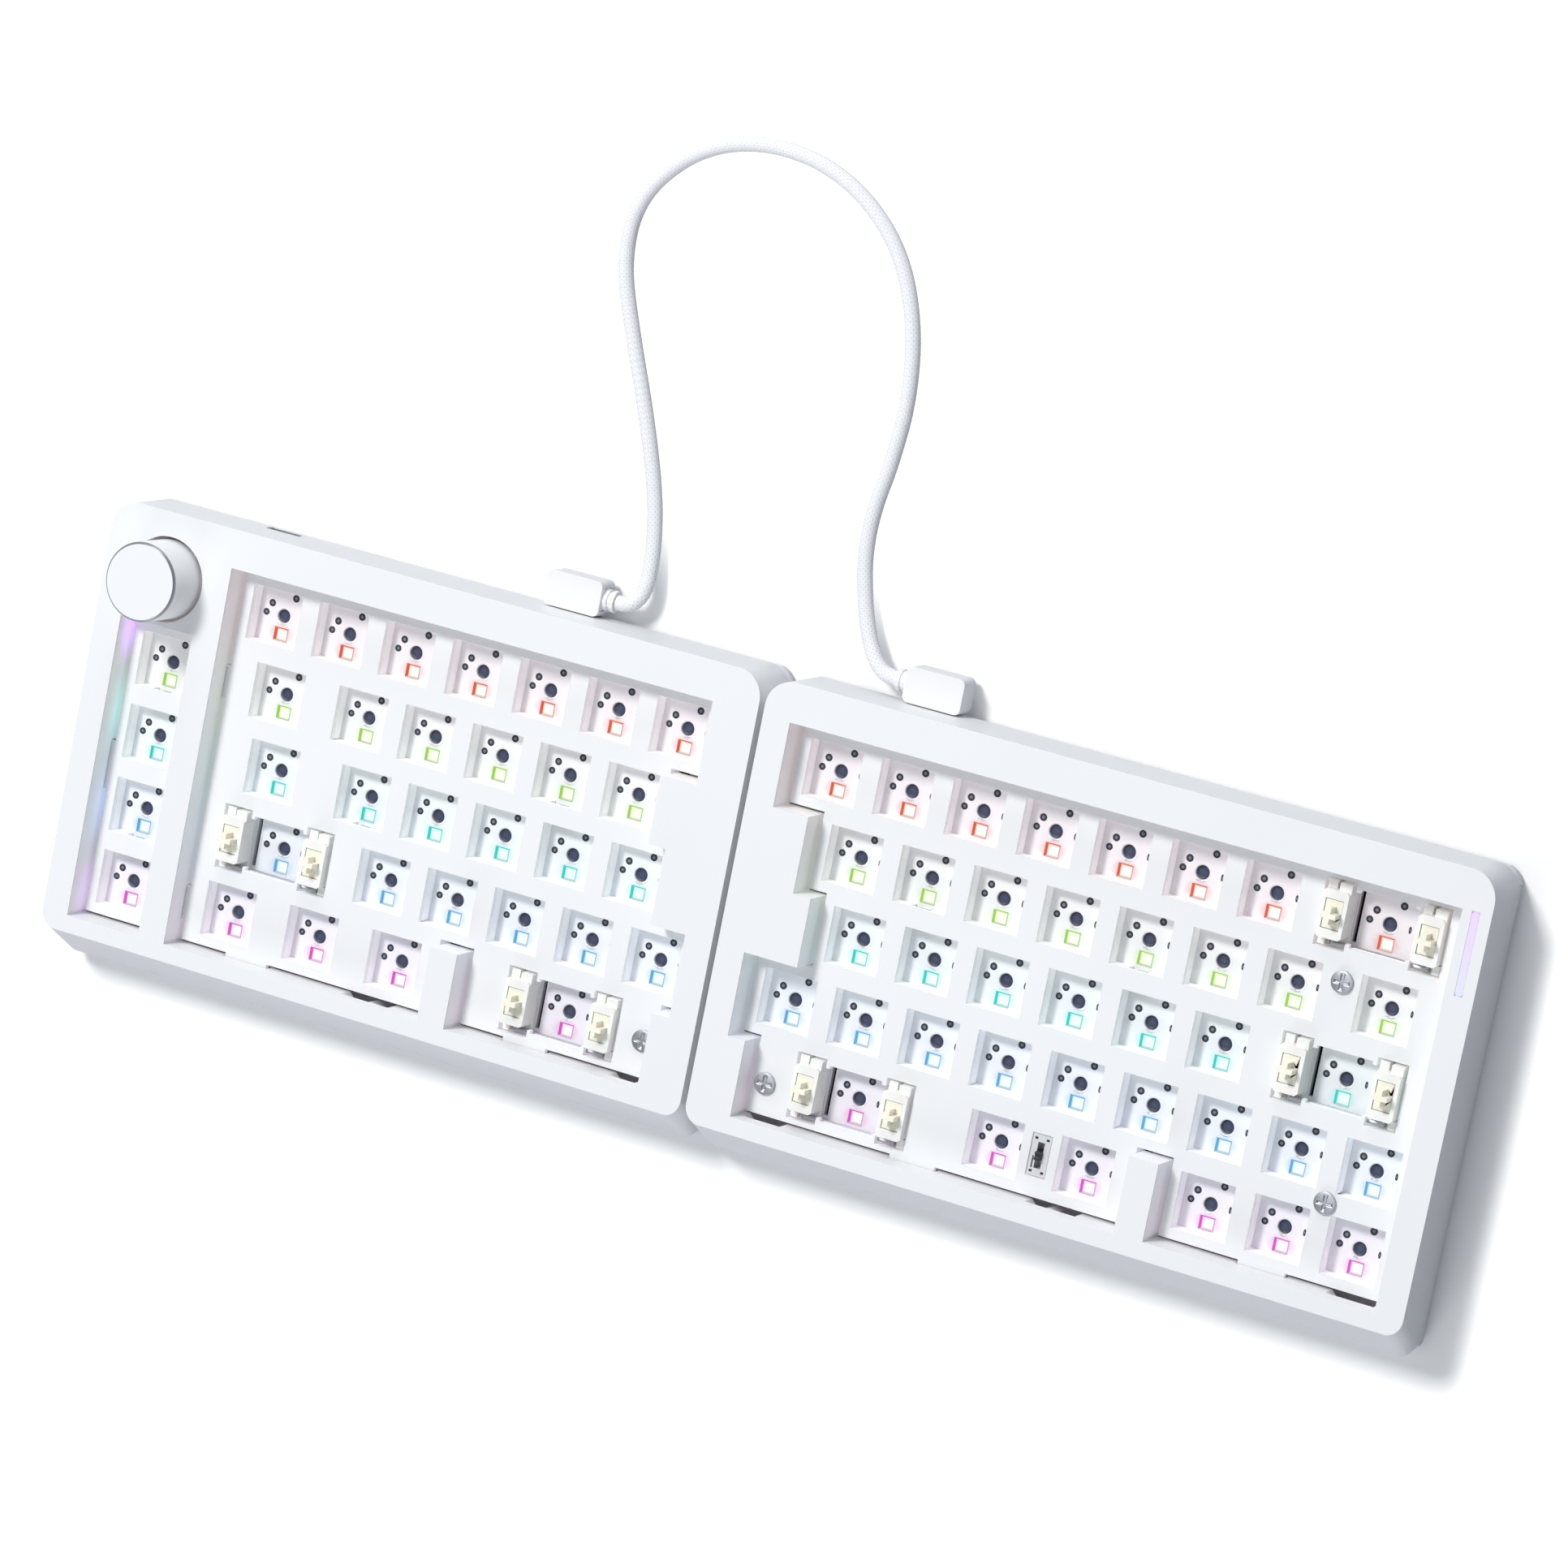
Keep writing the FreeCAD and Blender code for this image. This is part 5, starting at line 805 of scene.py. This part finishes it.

# %% [markdown]
# Round each window the row's light falls on the board in a soft pool, and that pool is painted light.
# It could be painted into the board's colour, but a thin film of its own lets the pool end in a clean
# ellipse: it glows in the row's colour and its cover fades from a sixth at the window to nothing at the
# ellipse.

# %% Key lights
POOL_TURN, POOL_RINGS = 28, 6
POOL_INNER, POOL_WIDE, POOL_BACK, POOL_FRONT = (0.00172, 0.00152), 0.0044, 0.0029, 0.0023
POOL_COVER = 0.17
pool_glow = bpy.data.materials.new("pool_glow")
tree, shader = shader_of(pool_glow)
fade = ramp_of(tree, surface_in(tree)["Y"], 1.0, 0.0)
feed(tree, shader, {"Base Color": (0, 0, 0), "Specular IOR Level": 0.0, "Emission Strength": 0.95,
                    "Emission Color": row_light(tree)["Row"],
                    "Alpha": maths(tree, "MULTIPLY", fade, POOL_COVER)})


def light_pools(places):
    """Rings from the window's rectangle out to an ellipse: r = (1 - t) rectangle(a) + t ellipse(a), with
    t from 0 to 1. The surface coordinate is the turn and t. The last rings close the film from below,
    where t stays 1 and the finish is clear."""
    angle = np.linspace(0, 2 * np.pi, POOL_TURN, endpoint=False)
    cosine, sine = np.cos(angle), np.sin(angle)
    rectangle = 1 / np.maximum(np.abs(cosine) / POOL_INNER[0], np.abs(sine) / POOL_INNER[1])
    reach_y = np.where(sine > 0, POOL_BACK, POOL_FRONT)
    ellipse = 1 / np.sqrt((cosine / POOL_WIDE) ** 2 + (sine / reach_y) ** 2)
    share = np.concatenate([np.linspace(0, 1, POOL_RINGS), [1, 0, 0]])[:, None]
    radius = (1 - share) * rectangle + share * np.maximum(ellipse, rectangle)
    x = places[:, 0, None, None] + radius * cosine
    y = places[:, 1, None, None] + radius * sine
    z = np.broadcast_to(BOARD_TOP + np.array([3] * POOL_RINGS + [1, 1, 3])[:, None] * LIFT, x.shape)
    share = np.concatenate([share[:POOL_RINGS], np.ones((3, 1))])
    uv = np.stack(np.broadcast_arrays(angle[None, :] / (2 * np.pi), share), -1)
    return np.stack([x, y, z], -1), np.broadcast_to(uv, (len(places), *uv.shape))


LENS_PROFILE = [(0, 0.00765), (1, 0.00765), (1, 0.00862), (0.93, 0.00875), (0.5, 0.00875), (0, 0.00875)]
RIM_PROFILE = [(0.985, 0.0079), (0.985, BOARD_TOP + 4 * LIFT), (1.13, BOARD_TOP + 4 * LIFT),
               (1.14, BOARD_TOP + LIFT), (0.985, 0.0079)]
for side in STARTS:
    lamps = centres[side] + LED_OFFSET
    lenses = add_piece(grid_mesh(side + "_led_lenses", *square_rings(lamps, *HALF_LENS, LENS_PROFILE)),
                       lens_glow, side + "_half", smooth=False)
    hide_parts(side + "_leds")
    add_piece(grid_mesh(side + "_window_rims", *square_rings(lamps, *HALF_WINDOW, RIM_PROFILE)),
              rim_glow, side + "_half", smooth=False)
    add_piece(grid_mesh(side + "_light_pools", *light_pools(lamps)), pool_glow, side + "_half", smooth=False)

# %% [markdown]
# Below each switch opening the board has a round centre hole and four small ones for the switch's pins
# and pegs. The centre hole is a real cup with a light collar round it; the dark tones in the cup are
# painted shade of a deep hole, darkest where its floor meets its wall. The small holes are only seen as
# dark dots with a lighter middle, so each is a flat disc whose tones run out from its centre, which
# takes fewer faces than a bore: the dark ring is painted shade, and the lighter middle is the socket's
# metal contact with a painted glint. The one on the right is narrower, as it looks in the picture.

# %% Switch holes
def hole_finish(name, tones):
    """A finish whose colour runs through given tones from the middle of a hole to its edge."""
    material = bpy.data.materials.new(name)
    tree, shader = shader_of(material)
    feed(tree, shader, {"Base Color": colour_ramp(tree, surface_in(tree)["Y"], tones), "Roughness": 0.5})
    return material


# Painted shade of the deep centre hole, darkest where its floor meets its wall; the lip is the pale board.
bore_shade = hole_finish("bore_shade", [(0.0, (0.055, 0.065, 0.12)), (0.40, (0.040, 0.050, 0.10)),
                                      (0.80, (0.030, 0.036, 0.075)), (0.90, (0.008, 0.009, 0.015)),
                                      (1.0, (0.66, 0.66, 0.72))])
# Painted shade of a pin hole round a lighter middle: the socket's contact with a painted glint.
pin_shade_and_glint = hole_finish("pin_shade_and_glint", [(0.0, (0.26, 0.27, 0.31)), (0.30, (0.14, 0.15, 0.19)),
                                    (0.52, (0.02, 0.024, 0.04)), (0.86, (0.012, 0.014, 0.022)),
                                    (1.0, (0.10, 0.10, 0.13))])
ROUND_SIDES, PIN_SIDES = 28, 16
BORE_PROFILE = [(0, 0.0088), (0.00090, 0.0088), (0.00168, 0.0088), (0.00174, 0.0090), (0.00176, 0.00942),
                (0.00180, BOARD_TOP + 2 * LIFT), (0.00180, 0.0086), (0, 0.0086)]
COLLAR_PROFILE = [(0.00176, 0.0094), (0.00180, BOARD_TOP + 3 * LIFT), (0.00240, BOARD_TOP + 3 * LIFT),
                  (0.00243, BOARD_TOP + LIFT), (0.00243, 0.0094), (0.00176, 0.0094)]
PIN_HOLES = [((-0.00381, 0.00254), 0.00095, 1.0), ((0.00254, 0.00508), 0.00095, 1.0),
             ((-0.00508, 0.0), 0.00088, 1.0), ((0.00508, 0.0), 0.00088, 0.4)]


def pin_hole(places, radius, squash):
    """Small dark discs with a raised rim, narrowed along X by squash and closed from below."""
    low = BOARD_TOP + 4 * LIFT
    profile = [(0, low), (radius * 0.3, low), (radius * 0.6, low), (radius * 0.86, low + LIFT),
               (radius, low - LIFT), (radius, low - 5 * LIFT), (0, low - 5 * LIFT)]
    grid, uv = turned(places, profile, PIN_SIDES)
    middle = places[:, 0, None, None]
    grid[..., 0] = middle + (grid[..., 0] - middle) * squash
    return grid, uv


for side, keys in centres.items():
    add_piece(grid_mesh(side + "_centre_bores", *turned(keys, BORE_PROFILE, ROUND_SIDES)), bore_shade,
              side + "_half")
    add_piece(grid_mesh(side + "_bore_collars", turned(keys, COLLAR_PROFILE, ROUND_SIDES)[0]), board_white,
              side + "_half")
    found = [pin_hole(keys + offset, radius, squash) for offset, radius, squash in PIN_HOLES]
    grid, uv = (np.concatenate(grids) for grids in zip(*found))
    add_piece(grid_mesh(side + "_pin_holes", grid, uv), pin_shade_and_glint, side + "_half")

# %% [markdown]
# The mode switch wears a thin pressed steel face. Four notches at its corners, a cut along its left side
# and the slot of the lever look dark. Painted marks would look flat from the side, so the face is a
# sheet with real holes. Under it lies a black sheet of painted shade, which shows through the notches
# and the cut and keeps the steel body below them dark.

# %% Mode switch face
SHADE_LOW, FACE_LOW, FACE_HIGH = 0.01410, 0.01412, 0.01424
NOTCHES = [((x, y), (0.00040, 0.00030)) for x in (-0.00150, 0.00150) for y in (-0.00405, 0.00405)]
SIDE_CUT = ((-0.00150, -0.00180), (0.00018, 0.00150))
slot_box = boxes_round(mode_middle, 0.00086, 0.00320)
outline = boxes_round(mode_middle, 0.00240, 0.00510)
cuts = np.vstack([boxes_round(mode_middle + place, *half) for place, half in [*NOTCHES, SIDE_CUT]])
# The black sheet under the face is painted shade for the notches and the cut.
add_piece(sheet_mesh("mode_switch_shade", outline, slot_box, SHADE_LOW, FACE_LOW), black_moulding_and_shade,
          "right_half", smooth=False)
add_piece(sheet_mesh("mode_switch_face", outline, np.vstack([slot_box, cuts]), FACE_LOW, FACE_HIGH),
          switch_silver, "right_half", smooth=False)

# %% [markdown]
# The screws that hold plate and board have low domed heads with a cross recess. A boolean could cut the
# cross, but here each head is a polar grid whose height is lowered wherever a point falls in one of the
# two arms, which keeps the dome round the cross smooth.

# %% Screw heads
SCREWS = {"left": [(6.84, 5.02)], "right": [(14.03, 4.5), (13.65, 1.79), (6.43, 5.09)]}
HEAD_RADIUS, HEAD_LOW, HEAD_HIGH = 0.0027, 0.0145, 0.0155
HEAD_DOME, RECESS, HEAD_TURN, HEAD_RINGS = 0.00028, 0.00050, 64, 26
ARM_THIN, ARM_LONG, SLOPE = 0.00034, 0.00155, 0.35


def screw_heads(places):
    """Height z = top - dome * (r / R)^2 - recess * cross, where cross is 1 inside either arm and fades
    over a short slope. The last rings run down the side and close the head from below."""
    angle = np.linspace(0, 2 * np.pi, HEAD_TURN, endpoint=False)
    radius = np.concatenate([np.linspace(0, 0.96, HEAD_RINGS), [1.0, 1.0, 0]])[:, None] * HEAD_RADIUS
    x, y = radius * np.cos(angle), radius * np.sin(angle)
    arm_one = np.maximum(np.abs(x) / ARM_THIN, np.abs(y) / ARM_LONG)
    arm_two = np.maximum(np.abs(y) / ARM_THIN, np.abs(x) / ARM_LONG)
    cross = np.clip((1 + SLOPE - np.minimum(arm_one, arm_two)) / SLOPE, 0, 1)
    z = HEAD_HIGH - HEAD_DOME * (radius / HEAD_RADIUS) ** 2 - RECESS * cross
    z[-2:] = HEAD_LOW
    shift = np.concatenate([places, np.zeros((len(places), 1))], 1)[:, None, None]
    return np.stack([x, y, z], -1)[None] + shift


for side, start in STARTS.items():
    heads = add_piece(grid_mesh(side + "_screw_heads", screw_heads(key_centres(SCREWS[side], start))),
                      bright_steel, side + "_half")
    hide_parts(side + "_plate_screws")

# %% [markdown]
# Moulded and cut parts never have razor edges. The solids could be rounded in the CAD, but that would
# multiply their facets. So each node whose edges show keeps its mesh and gets modifiers: its loose
# triangles are merged, flat areas are joined, and every sharp edge gets a narrow rounded bevel, which
# catches a thin line of light as on the real case.

# %% Softened edges
def soften(node, width, segments, angle=35.0):
    """Merges a node's triangles, joins its flat faces, bevels its sharp edges and evens its shading."""
    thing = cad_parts[node]
    weld = thing.modifiers.new("weld", "WELD")
    weld.merge_threshold = 0.000002
    flat_faces = thing.modifiers.new("flat_faces", "DECIMATE")
    flat_faces.decimate_type = "DISSOLVE"
    flat_faces.angle_limit = math.radians(1.0)
    bevel = thing.modifiers.new("edge", "BEVEL")
    bevel.width = width
    bevel.segments = segments
    bevel.limit_method = "ANGLE"
    bevel.angle_limit = math.radians(angle)
    bevel.harden_normals = True
    bevel.use_clamp_overlap = True


EDGES = [(both("top_case") + both("bottom_case"), 0.00065, 3), (both("cable_plug"), 0.0006, 3),
         (both("switch_plate"), 0.00012, 1), (["mode_switch_body", "mode_switch_lever"], 0.0002, 2),
         ([key + "_stab_housings" for key in STABILISERS], 0.00035, 3),
         ([key + "_stab_stems" for key in STABILISERS], 0.00030, 3)]
for nodes, width, segments in EDGES:
    for node in nodes:
        soften(node, width, segments)
soften("knob", 0.0002, 2, angle=50.0)
print("softened nodes:", len([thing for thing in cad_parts.values() if thing.modifiers]))
